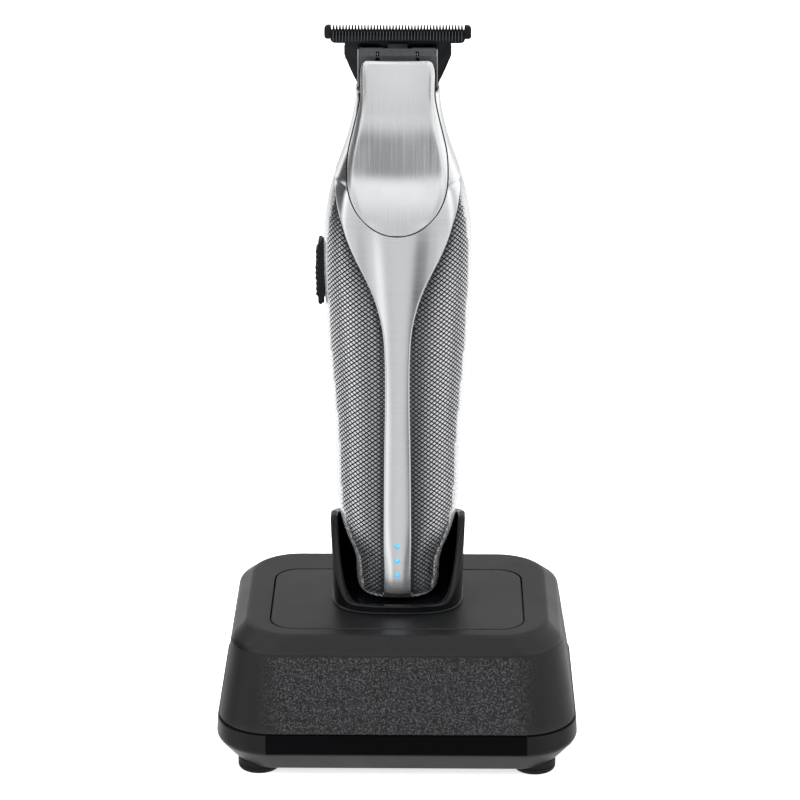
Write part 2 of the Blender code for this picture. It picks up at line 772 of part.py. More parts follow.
def make_bottom_cover():
    rings = [
        dock_ring(DOCK_UNDERSIDE, 0.6, FLOOR_TOP_Z),
        dock_ring(BAND_BOTTOM, DOCK_WALL),
        dock_ring(BAND_TOP, DOCK_WALL),
        dock_ring(BAND_TOP),
        dock_ring(BAND_BOTTOM),
        dock_ring(DOCK_UNDERSIDE),
    ]
    cover = skin("dock_bottom_cover", rings, "black_plastic", 20.0)
    span = (9.2, 16.0)
    strip_y = -BAND_BOTTOM[2] + STRIP_THICKNESS + GAP
    cut(cover, block("strip_seat", (-STRIP_HALF - 0.2, STRIP_HALF + 0.2), (-45.0, strip_y), span))
    for x in (-FOOT_X, FOOT_X):
        for y in (-FOOT_Y, FOOT_Y):
            seat = (0.0, FOOT_HEIGHT + GAP)
            cut(cover, rod("foot_seat", FOOT_R + 0.3, seat, (x, y, 0.0), None, "Z", 16))
    cut(cover, screw_posts("bore", 1.6, (0.0, 8.0)))
    return cut(cover, screw_posts("head_seat", 2.8, (0.0, 3.7), 14))


def make_front_strip():
    front = -BAND_BOTTOM[2]
    back = front + STRIP_THICKNESS
    lean = BAND_BOTTOM[2] - BAND_TOP[2]
    low = BAND_BOTTOM[0]
    high = BAND_TOP[0]
    profile = [(front, low), (back, low), (back, high), (front + lean, high)]
    rings = [[(x, y, z) for y, z in profile] for x in (-STRIP_HALF, STRIP_HALF)]
    return skin("front_trim_strip", rings, "gloss_black")


def make_feet():
    number = 0
    for y in (-FOOT_Y, FOOT_Y):
        for x in (-FOOT_X, FOOT_X):
            number += 1
            profile = [
                (0.0, FOOT_HEIGHT),
                (FOOT_R, FOOT_HEIGHT),
                (FOOT_R, 0.5),
                (FOOT_R - 0.5, 0.0),
                (0.0, 0.0),
            ]
            turned("dock_foot_%d" % number, profile, (x, y, 0.0), "black_rubber", "Z", 16)


def make_dock_screws():
    profile = [(0.0, 14.0), (1.25, 14.0), (1.25, 3.4), (2.4, 3.4), (2.4, 2.5), (0.0, 2.5)]
    for i, (x, y) in enumerate(DOCK_SCREWS):
        turned("dock_screw_%d" % (i + 1), profile, (x, y, 0.0), "bright_steel", "Z", 12)


def cradle_ring(z, inset, follow_rim=0.0, segments=44):
    """A ring of the cup. Its height follows the rim by the given share."""
    ring = []
    for i in range(segments):
        angle = 2.0 * math.pi * (i + 0.5) / segments
        x, y = polar_oval(CRADLE_HALF[0], CRADLE_HALF[1], CRADLE_SQUARENESS, angle)
        rise = min(max((y + CRADLE_CENTRE_Y + 11.5) / 10.5, 0.0), 1.0)
        rise = rise * rise * rise * (rise * (6.0 * rise - 15.0) + 10.0)
        dip = max(y - 2.0, 0.0) / CRADLE_HALF[1]
        rim = CRADLE_LIP_Z + (CRADLE_PRONG_Z - CRADLE_LIP_Z) * (rise - 0.22 * dip)
        height = z + follow_rim * (rim - z)
        flare = CRADLE_FLARE * (height - CRADLE_FLOOR[0]) / (CRADLE_PRONG_Z - CRADLE_FLOOR[0])
        sx = (CRADLE_HALF[0] - inset + flare) / CRADLE_HALF[0]
        sy = (CRADLE_HALF[1] - inset) / CRADLE_HALF[1]
        ring.append((x * sx, y * sy + CRADLE_CENTRE_Y, height))
    return ring


def make_cradle():
    floor_low, floor_high = CRADLE_FLOOR
    rings = [
        cradle_ring(CRADLE_SEAT_Z, 9.4),
        cradle_ring(floor_high, 9.0),
        cradle_ring(floor_high, CRADLE_WALL + 0.8),
        cradle_ring(floor_high + 0.3, CRADLE_WALL),
        cradle_ring(floor_high, CRADLE_WALL, 0.5),
        cradle_ring(floor_high, CRADLE_WALL, 0.985),
        cradle_ring(floor_high, CRADLE_WALL * 0.6, 1.0),
        cradle_ring(floor_high, CRADLE_WALL * 0.3, 1.0),
        cradle_ring(floor_high, 0.0, 0.985),
        cradle_ring(floor_low, 0.0, 0.5),
        cradle_ring(floor_low, 0.0),
    ]
    cup = skin("cradle", rings, "gloss_black", 50.0)
    for x in (-CONTACT_X, CONTACT_X):
        cut(cup, rod("pin_hole", PIN_R + 0.35, (38.0, 50.0), (x, SPLIT_Y, 0.0), None, "Z", 12))
    return cup


def make_charging_pins():
    body = block("contact_block", (-9.3, 9.3), (-2.3, 6.3), (30.6, 41.5), "grey_plastic")
    for side, name in ((-1, "left"), (1, "right")):
        centre = (side * CONTACT_X, SPLIT_Y, 0.0)
        cut(body, rod("flange_bore", 1.85, (28.0, 38.9), centre, None, "Z", 14))
        cut(body, rod("tip_bore", PIN_R + 0.3, (37.0, 44.0), centre, None, "Z", 12))
        profile = [
            (0.0, PIN_TOP_Z),
            (PIN_R - 0.3, PIN_TOP_Z),
            (PIN_R, PIN_TOP_Z - 0.4),
            (PIN_R, 38.5),
            (1.55, 38.5),
            (1.55, 37.5),
            (0.0, 37.5),
        ]
        turned("charging_pin_" + name, profile, centre, "copper_gold", "Z", 12)
        make_pin_spring("pin_spring_" + name, centre)
    return body


def make_pin_spring(name, centre):
    turns = 4
    steps = 8
    low, high = 30.8, 36.9
    points = []
    for i in range(turns * steps + 1):
        angle = 2.0 * math.pi * i / steps
        z = low + (high - low) * i / (turns * steps)
        points.append((centre[0] + 1.25 * math.cos(angle), centre[1] + 1.25 * math.sin(angle), z))
    return wire(name, points, 0.18, "bright_steel")


def make_dock_inside():
    block("dock_circuit_board", (-22.0, 22.0), (-12.0, 17.0), (28.7, 30.3), "circuit_green")
    block("dock_weight", (-24.0, 24.0), (-15.5, 17.0), (5.3, 9.5), "black_steel")


def make_inlet():
    """The low-voltage inlet in the dock's back wall, a little inside the wall's outer face."""
    y_out = 35.2
    body = block(
        "charger_inlet", (-5.3, 5.3), (24.5, y_out), (INLET_Z - 4.5, INLET_Z + 4.5), "gloss_black"
    )
    return cut(
        body, rod("hole", INLET_HOLE_R, (27.0, 45.0), (0.0, 0.0, INLET_Z), None, "Y", 24)
    )


# ---------------------------------------------------------------- assembly
def group(name, pivot, members):
    """Parents the pieces of one moving body to an empty on its joint's axis."""
    handle = bpy.data.objects.new(name, None)
    handle.location = [value * MM for value in pivot]
    PARTS.objects.link(handle)
    bpy.context.view_layer.update()
    for member in members:
        piece = bpy.data.objects[member]
        piece.parent = handle
        piece.matrix_parent_inverse = handle.matrix_world.inverted()


clear_scene()
MATERIALS = {name: make_material(name) for name in COLOURS}
PARTS = bpy.data.collections.new("trimmer_in_dock")
bpy.context.scene.collection.children.link(PARTS)

make_front_housing()
make_back_housing()
make_housing_screws()
make_front_lid()
make_nose_bracket()
make_fixed_blade()
make_moving_blade()
make_blade_screws()
make_tension_spring()
make_motor()
make_motor_bracket()
make_eccentric_cam()
make_drive_yoke()
make_battery()
make_main_board()
make_lights()
make_power_slider()
make_switch()
make_leads()
make_tail()

make_dock_housing()
make_top_plate()
make_bottom_cover()
make_front_strip()
make_feet()
make_dock_screws()
make_cradle()
make_charging_pins()
make_dock_inside()
make_inlet()

group("motor_axis", (0.0, SPLIT_Y, 178.0), ("motor_rotor", "eccentric_cam"))
group("blade_axis", (0.0, -1.4, 200.0), ("moving_blade", "drive_yoke"))
group("slider_axis", (-20.5, SPLIT_Y, 136.0), ("power_slider", "switch_carrier"))
group("left_pin_axis", (-CONTACT_X, SPLIT_Y, 38.0), ("charging_pin_left",))
group("right_pin_axis", (CONTACT_X, SPLIT_Y, 38.0), ("charging_pin_right",))
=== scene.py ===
"""Looks of the cordless T-blade hair trimmer standing in its charging dock.

Lengths in this file are in millimetres and are turned into metres when a mesh is made.
"""

import math

import bmesh
import bpy
from mathutils import Matrix, Vector


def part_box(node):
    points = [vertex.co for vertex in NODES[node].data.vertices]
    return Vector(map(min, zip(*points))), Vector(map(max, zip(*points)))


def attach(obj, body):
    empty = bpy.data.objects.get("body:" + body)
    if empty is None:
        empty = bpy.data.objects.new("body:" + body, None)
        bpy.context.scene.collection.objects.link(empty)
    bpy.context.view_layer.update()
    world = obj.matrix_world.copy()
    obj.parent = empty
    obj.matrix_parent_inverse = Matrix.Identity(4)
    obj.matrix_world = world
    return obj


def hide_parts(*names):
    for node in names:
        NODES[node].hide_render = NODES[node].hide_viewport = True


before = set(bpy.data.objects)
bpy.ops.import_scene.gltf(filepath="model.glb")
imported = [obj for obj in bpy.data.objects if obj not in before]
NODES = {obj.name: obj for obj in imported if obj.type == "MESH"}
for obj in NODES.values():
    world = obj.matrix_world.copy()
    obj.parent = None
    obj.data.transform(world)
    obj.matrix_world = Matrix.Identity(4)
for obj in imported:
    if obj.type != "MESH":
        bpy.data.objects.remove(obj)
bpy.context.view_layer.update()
SCENE = bpy.context.scene
MM = 0.001


# ================================================================ camera
def make_camera():
    """Long lens, standing a little right of the middle and looking down at the dock."""
    data = bpy.data.cameras.new("camera")
    data.lens = 135.0
    data.sensor_width = 36.0
    data.clip_start = 0.05
    data.clip_end = 30.0
    camera = bpy.data.objects.new("camera", data)
    SCENE.collection.objects.link(camera)
    target = Vector((0.0006, 0.0, 0.0995))
    place = Vector((0.0093, -0.7818, 0.3779))
    camera.location = place
    camera.rotation_mode = "QUATERNION"
    camera.rotation_quaternion = (target - place).to_track_quat("-Z", "Y")
    SCENE.camera = camera


make_camera()

# ================================================================ measures, as in the CAD source
SPLIT_Y = 2.0
HALF_GAP = 0.15
BODY_BOTTOM = 43.85
BODY_TOP = 188.4
# height, half width, depth in front of the parting plane, depth behind it
STATIONS = (
    (43.85, 9.5, 11.1, 10.6), (44.2, 10.5, 12.2, 11.6), (45.0, 11.2, 12.8, 12.2),
    (46.2, 11.5, 13.05, 12.5), (48.5, 11.65, 13.15, 12.65), (52.0, 11.8, 13.2, 12.8),
    (56.0, 12.7, 13.2, 12.9), (60.0, 14.4, 13.2, 13.0), (65.0, 15.9, 13.3, 13.1),
    (70.0, 16.8, 13.35, 13.2), (80.0, 17.2, 13.5, 13.5), (92.0, 17.5, 13.8, 13.9),
    (105.0, 18.4, 14.4, 14.6), (117.0, 19.3, 15.1, 15.3), (130.0, 19.9, 16.0, 15.9),
    (142.0, 20.2, 16.6, 16.2), (150.0, 19.9, 16.8, 16.1), (156.0, 19.1, 16.7, 15.7),
    (162.0, 17.8, 16.3, 15.0), (167.0, 16.1, 15.8, 14.2), (172.0, 14.3, 15.0, 13.2),
    (178.0, 12.6, 14.0, 12.1), (184.0, 11.5, 12.8, 11.0), (190.0, 11.2, 11.6, 10.0),
    (198.0, 11.1, 10.0, 9.0),
)
# height, squareness of the front half section, of the back half section
SQUARENESS = (
    (44.0, 2.3, 2.3), (130.0, 2.3, 2.3), (156.0, 2.8, 2.5),
    (170.0, 3.4, 2.8), (182.0, 4.2, 3.0), (200.0, 4.4, 3.0),
)
# height, half width of the lid's outline
LID_OUTLINE = (
    (197.0, 8.6), (196.6, 9.2), (195.6, 9.5), (186.6, 9.9), (182.0, 10.8),
    (177.8, 11.8), (171.8, 13.1), (167.7, 13.35), (163.1, 13.1), (159.1, 11.9),
    (155.8, 9.8), (153.0, 6.7), (151.7, 4.0), (151.0, 0.0),
)
# height, half width of the smooth spine: a stem below that opens into a goblet under the lid
FRONT_SPINE = (
    (44.0, 4.05), (60.0, 4.0), (90.0, 3.75), (104.0, 3.52), (115.8, 3.62), (121.0, 3.87),
    (125.4, 4.45), (129.8, 5.45), (133.8, 6.7), (138.0, 8.5), (142.9, 11.0), (146.8, 12.85),
    (150.0, 14.1), (153.3, 15.1), (155.7, 15.85), (159.3, 16.6), (162.0, 16.9), (164.4, 17.0),
)
BACK_SPINE = (
    (44.0, 6.2), (104.0, 6.0), (120.0, 6.6), (133.8, 9.2), (142.9, 12.4), (149.8, 14.7),
    (155.7, 16.0), (164.4, 17.0),
)
GRIP_TOP = 166.5
# fall of the lid's arch for each square millimetre of its half width
LID_ARCH = 0.0095
# diameter of the lid's round lower tip, and how much of that circle's width it takes
LID_TIP = (24.6, 0.985)
LID_CORNER_Z = 195.2
# share of the depth that the visible skin takes, so that it stays inside the CAD size
SKIN_DEPTH = 0.995
# the knurl's diamonds: heights, half width, rise of a row, groove depth, share left flat
KNURL_BOTTOM = 45.8
KNURL_TOP = 161.5
KNURL_HALF = 0.875
KNURL_RISE = 0.672
KNURL_DEPTH = 0.26
KNURL_KEEP = 0.68
# middle of each blade screw
SCREW_X = 5.3
SCREW_Z = 197.3
# Y and Z ranges of the power slider's slot in the housing's side
SLIDER_SLOT = (0.6, 3.4, 133.2, 143.4)


def smooth_table(table, z, column):
    """The value of a table's column at height z, on a smooth curve through its rows."""
    last = len(table) - 1
    if z <= table[0][0]:
        return table[0][column]
    if z >= table[last][0]:
        return table[last][column]
    i = 0
    while z > table[i + 1][0]:
        i += 1

    def rise(k):
        return (table[k + 1][column] - table[k][column]) / (table[k + 1][0] - table[k][0])

    def slope(k):
        if k == 0:
            return rise(0)
        if k == last:
            return rise(last - 1)
        before = table[k][0] - table[k - 1][0]
        after = table[k + 1][0] - table[k][0]
        return (after * rise(k - 1) + before * rise(k)) / (before + after)

    span = table[i + 1][0] - table[i][0]
    t = (z - table[i][0]) / span
    t2 = t * t
    t3 = t2 * t
    return (
        (2 * t3 - 3 * t2 + 1) * table[i][column]
        + (t3 - 2 * t2 + t) * span * slope(i)
        + (3 * t2 - 2 * t3) * table[i + 1][column]
        + (t3 - t2) * span * slope(i + 1)
    )


def ease(value, low, high):
    """Runs smoothly from 0 at low to 1 at high."""
    t = min(max((value - low) / (high - low), 0.0), 1.0)
    return t * t * (3.0 - 2.0 * t)


# ---------------------------------------------------------------- the trimmer's skin as (s, z)
SECTION_STEPS = 120
SECTIONS = {}


def section(z, front):
    """One quarter of the section at height z, from the middle line to the side: arc lengths and points."""
    key = (round(z, 3), front)
    if key not in SECTIONS:
        half = smooth_table(STATIONS, z, 1)
        depth = smooth_table(STATIONS, z, 2 if front else 3)
        n = smooth_table(SQUARENESS, z, 1 if front else 2)
        points = []
        for i in range(SECTION_STEPS + 1):
            angle = 0.5 * math.pi * i / SECTION_STEPS
            across = math.sin(angle)
            out = math.cos(angle)
            reach = ((across / half) ** n + (max(out, 0.0) / depth) ** n) ** (-1.0 / n)
            points.append((reach * across, reach * max(out, 0.0)))
        lengths = [0.0]
        for a, b in zip(points, points[1:]):
            lengths.append(lengths[-1] + math.dist(a, b))
        SECTIONS[key] = (lengths, points)
    return SECTIONS[key]


def half_arc(z, front):
    return section(z, front)[0][-1]


def arc_at_x(z, front, x):
    """Arc length from the middle line to the point x away from it."""
    lengths, points = section(z, front)
    if x >= points[-1][0]:
        return lengths[-1]
    for i in range(1, len(points)):
        if points[i][0] >= x:
            share = (x - points[i - 1][0]) / (points[i][0] - points[i - 1][0])
            return lengths[i - 1] + share * (lengths[i] - lengths[i - 1])
    return lengths[-1]


def skin_point(s, z, front, height=0.0):
    """A point at arc length s from the middle line, standing off the skin by the height."""
    lengths, points = section(z, front)
    side = -1.0 if s < 0 else 1.0
    reach = abs(s)
    if reach >= lengths[-1]:
        x, out = points[-1]
        out -= reach - lengths[-1]
        nx, nout = 1.0, 0.0
    else:
        low, high = 0, len(lengths) - 1
        while high - low > 1:
            middle = (low + high) // 2
            if lengths[middle] <= reach:
                low = middle
            else:
                high = middle
        share = (reach - lengths[low]) / (lengths[high] - lengths[low])
        (x0, o0), (x1, o1) = points[low], points[high]
        x = x0 + share * (x1 - x0)
        out = o0 + share * (o1 - o0)
        span = math.dist(points[low], points[high])
        nx, nout = (o0 - o1) / span, (x1 - x0) / span
    way = -1.0 if front else 1.0
    y = SPLIT_Y + way * (HALF_GAP + (out + nout * height) * SKIN_DEPTH)
    return side * (x + nx * height), y, z


# ================================================================ mesh helpers
def new_object(name, mesh, *materials):
    obj = bpy.data.objects.new(name, mesh)
    SCENE.collection.objects.link(obj)
    for material in materials:
        mesh.materials.append(material)
    return obj


def settle(obj, node, body):
    """Hides the CAD node that a piece stands for and hangs the piece on the body that it rides."""
    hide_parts(node)
    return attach(obj, body)


def shade(obj, angle=35.0):
    mesh = obj.data
    mesh.polygons.foreach_set("use_smooth", [True] * len(mesh.polygons))
    mesh.set_sharp_from_angle(angle=math.radians(angle))
    return obj


def outward(obj, angle=35.0):
    shape = bmesh.new()
    shape.from_mesh(obj.data)
    bmesh.ops.remove_doubles(shape, verts=shape.verts, dist=0.000002)
    bmesh.ops.recalc_face_normals(shape, faces=shape.faces)
    shape.to_mesh(obj.data)
    shape.free()
    return shade(obj, angle)


def loft(name, rings, materials, angle=35.0):
    """A closed body through rings of equal length, in millimetres."""
    count = len(rings[0])
    vertices = [(x * MM, y * MM, z * MM) for ring in rings for x, y, z in ring]
    faces = [list(range(count)), [(len(rings) - 1) * count + i for i in range(count)]]
    for level in range(len(rings) - 1):
        low = level * count
        for i in range(count):
            j = (i + 1) % count
            faces.append([low + i, low + j, low + count + j, low + count + i])
    mesh = bpy.data.meshes.new(name)
    mesh.from_pydata(vertices, [], faces)
    return outward(new_object(name, mesh, *materials), angle)


def apply_all(obj, angle=None):
    graph = bpy.context.evaluated_depsgraph_get()
    mesh = bpy.data.meshes.new_from_object(obj.evaluated_get(graph))
    obj.modifiers.clear()
    obj.data = mesh
    if angle is not None:
        shade(obj, angle)
    return obj


def combine(obj, other, operation, angle=35.0):
    modifier = obj.modifiers.new("combine", "BOOLEAN")
    modifier.operation = operation
    modifier.solver = "EXACT"
    modifier.object = other
    apply_all(obj)
    bpy.data.objects.remove(other, do_unlink=True)
    return outward(obj, angle)


def cut(obj, other, angle=35.0):
    return combine(obj, other, "DIFFERENCE", angle)


def join(obj, other, angle=35.0):
    return combine(obj, other, "UNION", angle)


def bevel(obj, width, segments=3, limit=40.0, angle=50.0):
    """Rounds the sharp edges of a piece."""
    modifier = obj.modifiers.new("edges", "BEVEL")
    modifier.width = width * MM
    modifier.segments = segments
    modifier.limit_method = "ANGLE"
    modifier.angle_limit = math.radians(limit)
    modifier.harden_normals = False
    return apply_all(obj, angle)


def steady(obj):
    """Large flat faces keep their own shading right up to the rounding beside them."""
    modifier = obj.modifiers.new("normals", "WEIGHTED_NORMAL")
    modifier.keep_sharp = True
    return apply_all(obj)


def merge(name, objects, material):
    """Several meshes as one object with one material."""
    shape = bmesh.new()
    for obj in objects:
        shape.from_mesh(obj.data)
    mesh = bpy.data.meshes.new(name)
    shape.to_mesh(mesh)
    shape.free()
    for obj in objects:
        bpy.data.objects.remove(obj, do_unlink=True)
    return shade(new_object(name, mesh, material))


def block(name, x_range, y_range, z_range, *materials):
    spans = (x_range, y_range, z_range)
    centre = Matrix.Translation([(low + high) / 2 * MM for low, high in spans])
    sizes = [(high - low) * MM for low, high in spans]
    shape = bmesh.new()
    bmesh.ops.create_cube(shape, size=1.0, matrix=centre @ Matrix.Diagonal((*sizes, 1.0)))
    mesh = bpy.data.meshes.new(name)
    shape.to_mesh(mesh)
    shape.free()
    return new_object(name, mesh, *materials)


def box_cut(obj, x_range, y_range, z_range, angle=35.0):
    return cut(obj, block("cut", x_range, y_range, z_range), angle)


def prism(name, outline, span, material):
    """An outline of (x, z) points given thickness along Y."""
    return loft(name, [[(x, y, z) for x, z in outline] for y in span], [material])


def rail(name, outline, stops, material, angle=35.0):
    """An outline of (y, z) points given thickness along X."""
    return loft(name, [[(x, y, z) for y, z in outline] for x in stops], [material], angle)


def spread(reach, count):
    return [-reach + 2.0 * reach * k / count for k in range(count + 1)]


def rounded_outline(points, radius, steps=5):
    """Rounds each corner of a closed outline."""
    result = []
    count = len(points)
    for i in range(count):
        here = Vector(points[i])
        before = Vector(points[i - 1]) - here
        after = Vector(points[(i + 1) % count]) - here
        reach = min(radius, before.length * 0.45, after.length * 0.45)
        start = here + before.normalized() * reach
        end = here + after.normalized() * reach
        for k in range(steps + 1):
            t = k / steps
            point = (1 - t) ** 2 * start + 2 * t * (1 - t) * here + t * t * end
            result.append((point.x, point.y))
    return result


def rounded_rectangle(half_x, half_y, radius, steps=12, centre=(0.0, 0.0)):
    points = []
    for sx, sy, start in ((1, -1, -90), (1, 1, 0), (-1, 1, 90), (-1, -1, 180)):
        for i in range(steps + 1):
            angle = math.radians(start + 90.0 * i / steps)
            x = centre[0] + sx * (half_x - radius) + radius * math.cos(angle)
            y = centre[1] + sy * (half_y - radius) + radius * math.sin(angle)
            points.append((x, y))
    return points


def turned(name, profile, centre, axis, materials, segments=48, angle=35.0):
    """A solid of revolution of (radius, height) points about Y or Z, with its ends on the axis."""
    rings = []
    for radius, height in profile:
        ring = []
        for i in range(segments):
            turn = 2.0 * math.pi * i / segments
            a = max(radius, 0.001) * math.cos(turn)
            b = max(radius, 0.001) * math.sin(turn)
            if axis == "Z":
                ring.append((centre[0] + a, centre[1] + b, centre[2] + height))
            else:
                ring.append((centre[0] + a, centre[1] + height, centre[2] + b))
        rings.append(ring)
    return loft(name, rings, materials, angle)


def drill(obj, radius, low, high, centre, axis="Y", segments=32, angle=35.0):
    """Cuts a round hole that runs from low to high past the centre along the axis."""
    profile = ((0.0, low), (radius, low), (radius, high), (0.0, high))
    return cut(obj, turned("hole", profile, centre, axis, (), segments), angle)


def box_mm(node):
    low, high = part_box(node)
    return low / MM, high / MM


def middle_mm(node):
    low, high = box_mm(node)
    return (low + high) / 2


# ================================================================ materials
def link(tree, socket, value):
    if isinstance(value, bpy.types.NodeSocket):
        tree.links.new(value, socket)
    else:
        socket.default_value = value


def add(tree, kind, inputs=None, **settings):
    node = tree.nodes.new("ShaderNode" + kind)
    for key, value in settings.items():
        setattr(node, key, value)
    for key, value in (inputs or {}).items():
        link(tree, node.inputs[key], value)
    return node


def principled(name, **sockets):
    material = bpy.data.materials.new(name)
    material.use_nodes = True
    tree = material.node_tree
    shader = tree.nodes["Principled BSDF"]
    for key, value in sockets.items():
        link(tree, shader.inputs[key.replace("_", " ")], value)
    return material, tree, shader


def coordinates(tree, scale):
    """The object's own coordinates, scaled by one number or by three."""
    own = add(tree, "TexCoord").outputs["Object"]
    scale = scale if isinstance(scale, tuple) else (scale, scale, scale)
    return add(tree, "Mapping", {"Vector": own, "Scale": scale}).outputs["Vector"]


def noise(tree, scale, detail=3.0, roughness=0.55):
    """Noise of one turn per unit after scaling the object's metres by the given numbers."""
    vector = coordinates(tree, scale)
    inputs = {"Vector": vector, "Scale": 1.0, "Detail": detail, "Roughness": roughness}
    return add(tree, "TexNoise", inputs).outputs["Fac"]


def ranged(tree, value, low, high, to_low, to_high, kind="LINEAR"):
    inputs = {"Value": value, "From Min": low, "From Max": high, "To Min": to_low, "To Max": to_high}
    return add(tree, "MapRange", inputs, interpolation_type=kind).outputs["Result"]


def blend(tree, share, first, second):
    node = add(tree, "Mix", data_type="RGBA")
    link(tree, node.inputs["Factor"], share)
    link(tree, node.inputs[6], first)
    link(tree, node.inputs[7], second)
    return node.outputs[2]


def math_node(tree, operation, a, b):
    node = add(tree, "Math", operation=operation)
    link(tree, node.inputs[0], a)
    link(tree, node.inputs[1], b)
    return node.outputs[0]


def times(tree, a, b):
    return math_node(tree, "MULTIPLY", a, b)


def surface(tree, shader, base, rough, height, depth):
    """Colour, roughness and relief of a finish; the depth is in metres."""
    link(tree, shader.inputs["Base Color"], base)
    link(tree, shader.inputs["Roughness"], rough)
    node = add(tree, "Bump", {"Height": height, "Distance": depth, "Strength": 1.0})
    link(tree, shader.inputs["Normal"], node.outputs["Normal"])


def edge_wear_and_highlight(tree, low=0.52, high=0.62):
    """1 on outside edges, which are made paler: partly polish and wear from handling, partly a painted
    highlight.
    """
    geometry = add(tree, "NewGeometry")
    return ranged(tree, geometry.outputs["Pointiness"], low, high, 0.0, 1.0)


def tinted(colour, factor):
    return (*[min(c * factor, 1.0) for c in colour], 1.0)


def brushed_metal(
    name, colour, roughness, lines, anisotropy=0.0, turn=0.0, contrast=0.06, depth=0.00002,
    wear_and_highlight=1.12, valley_shade_factor=None, flat=False, metal=1.0,
):
    """Metal with fine drawn lines, long where the scale is small.

    Where the faces' tone attribute is 0, the colour is multiplied by the given shade factor: painted shade
    in the valley along the spine.
    """
    material, tree, shader = principled(name, Metallic=metal, Anisotropic=anisotropy)
    streak = noise(tree, lines, 4.0, 0.6)
    cloud = noise(tree, (90.0, 90.0, 70.0), 2.0, 0.5)
    low = tinted(colour, 1.0 - contrast)
    high = tinted(colour, 1.0 + contrast)
    base = blend(tree, ranged(tree, streak, 0.3, 0.7, 0.0, 1.0), low, high)
    base = blend(tree, times(tree, cloud, 0.18), base, tinted(colour, 0.92))
    # paler edges: partly wear, partly a painted highlight
    base = blend(tree, edge_wear_and_highlight(tree), base, tinted(colour, wear_and_highlight))
    # painted shade: by the tone attribute the colour darkens (the grooves turn paler) towards the spine,
    # standing in for the shade in the valley there
    if valley_shade_factor is not None:
        unshaded_share = add(tree, "Attribute", attribute_name="tone").outputs["Fac"]
        base = blend(tree, unshaded_share, tinted(colour, valley_shade_factor), base)
    rough = ranged(tree, streak, 0.25, 0.75, roughness * 0.82, roughness * 1.2)
    shift = ranged(tree, cloud, 0.3, 0.7, -0.02, 0.03)
    surface(tree, shader, base, math_node(tree, "ADD", rough, shift), streak, depth)
    if anisotropy:
        if flat:
            along = add(tree, "CombineXYZ", {"X": 1.0, "Y": 0.0, "Z": 0.0}).outputs["Vector"]
        else:
            along = add(tree, "Tangent", direction_type="RADIAL", axis="Z").outputs["Tangent"]
        link(tree, shader.inputs["Tangent"], along)
        shader.inputs["Anisotropic Rotation"].default_value = turn
    return material


def moulded(name, colour, roughness, grain, depth, contrast=0.25, specular=0.5, wear_and_highlight=1.6):
    """Moulded plastic or rubber: fine grain in bump, tone and gloss, and paler edges that are partly wear
    and partly a painted highlight.
    """
    material, tree, shader = principled(name, Specular_IOR_Level=specular)
    fine = noise(tree, grain, 3.0, 0.6)
    cloud = noise(tree, 60.0, 3.0, 0.55)
    share = ranged(tree, fine, 0.3, 0.7, 0.0, 1.0)
    base = blend(tree, share, tinted(colour, 1.0 - contrast), tinted(colour, 1.0 + contrast))
    # paler edges: partly wear, partly a painted highlight
    base = blend(tree, edge_wear_and_highlight(tree, 0.53, 0.66), base, tinted(colour, wear_and_highlight))
    rough = ranged(tree, cloud, 0.3, 0.7, roughness * 0.88, roughness * 1.12)
    surface(tree, shader, base, rough, fine, depth)
    return material


def grained_wall():
    """The dock's wall: coarse pebble grain on the flats, which fades out towards the corners and edges."""
    material, tree, shader = principled("dock_wall_grain", Specular_IOR_Level=0.38)
    fine = noise(tree, 2200.0, 2.0, 0.6)
    parts = add(tree, "SeparateXYZ", {"Vector": add(tree, "TexCoord").outputs["Object"]})
    flats = []
    for axis, start, end in (("X", 0.030, 0.040), ("Y", 0.018, 0.028)):
        away = math_node(tree, "ABSOLUTE", parts.outputs[axis], 0.0)
        flats.append(ranged(tree, away, start, end, 1.0, 0.0, "SMOOTHSTEP"))
    flat = math_node(tree, "MAXIMUM", *flats)
    top = ranged(tree, parts.outputs["Z"], 0.0362, 0.0372, 1.0, 0.0, "SMOOTHSTEP")
    mask = times(tree, flat, top)
    share = times(tree, ranged(tree, fine, 0.48, 0.62, 0.0, 1.0), mask)
    base = blend(tree, share, (0.004, 0.0042, 0.0048, 1.0), (0.056, 0.058, 0.062, 1.0))
    # paler edges and corners: partly wear, partly a painted highlight
    base = blend(tree, edge_wear_and_highlight(tree, 0.53, 0.66), base, (0.03, 0.031, 0.033, 1.0))
    rough = ranged(tree, noise(tree, 60.0, 3.0, 0.5), 0.3, 0.7, 0.42, 0.5)
    height = times(tree, fine, math_node(tree, "ADD", mask, 0.06))
    surface(tree, shader, base, rough, height, 0.00045)
    return material


def lens_material():
    material, tree, shader = principled("light_lens", Emission_Strength=1.15)
    parts = noise(tree, 1400.0, 2.0, 0.5)
    share = ranged(tree, parts, 0.3, 0.7, 0.0, 1.0)
    glow = blend(tree, share, (0.03, 0.30, 0.95, 1.0), (0.06, 0.42, 1.0, 1.0))
    link(tree, shader.inputs["Emission Color"], glow)
    surface(tree, shader, glow, 0.2, parts, 0.00001)
    return material


def circuit_board():
    material, tree, shader = principled("circuit_board", Specular_IOR_Level=0.5)
    vector = coordinates(tree, 420.0)
    tracks = add(tree, "TexBrick", {"Vector": vector, "Scale": 1.0, "Mortar Size": 0.05})
    grain = noise(tree, 900.0, 3.0, 0.5)
    base = blend(tree, tracks.outputs["Fac"], (0.012, 0.11, 0.05, 1.0), (0.05, 0.26, 0.12, 1.0))
    base = blend(tree, ranged(tree, grain, 0.3, 0.7, 0.0, 0.3), base, (0.008, 0.07, 0.03, 1.0))
    rough = ranged(tree, grain, 0.3, 0.7, 0.35, 0.5)
    surface(tree, shader, base, rough, tracks.outputs["Fac"], 0.00004)
    return material


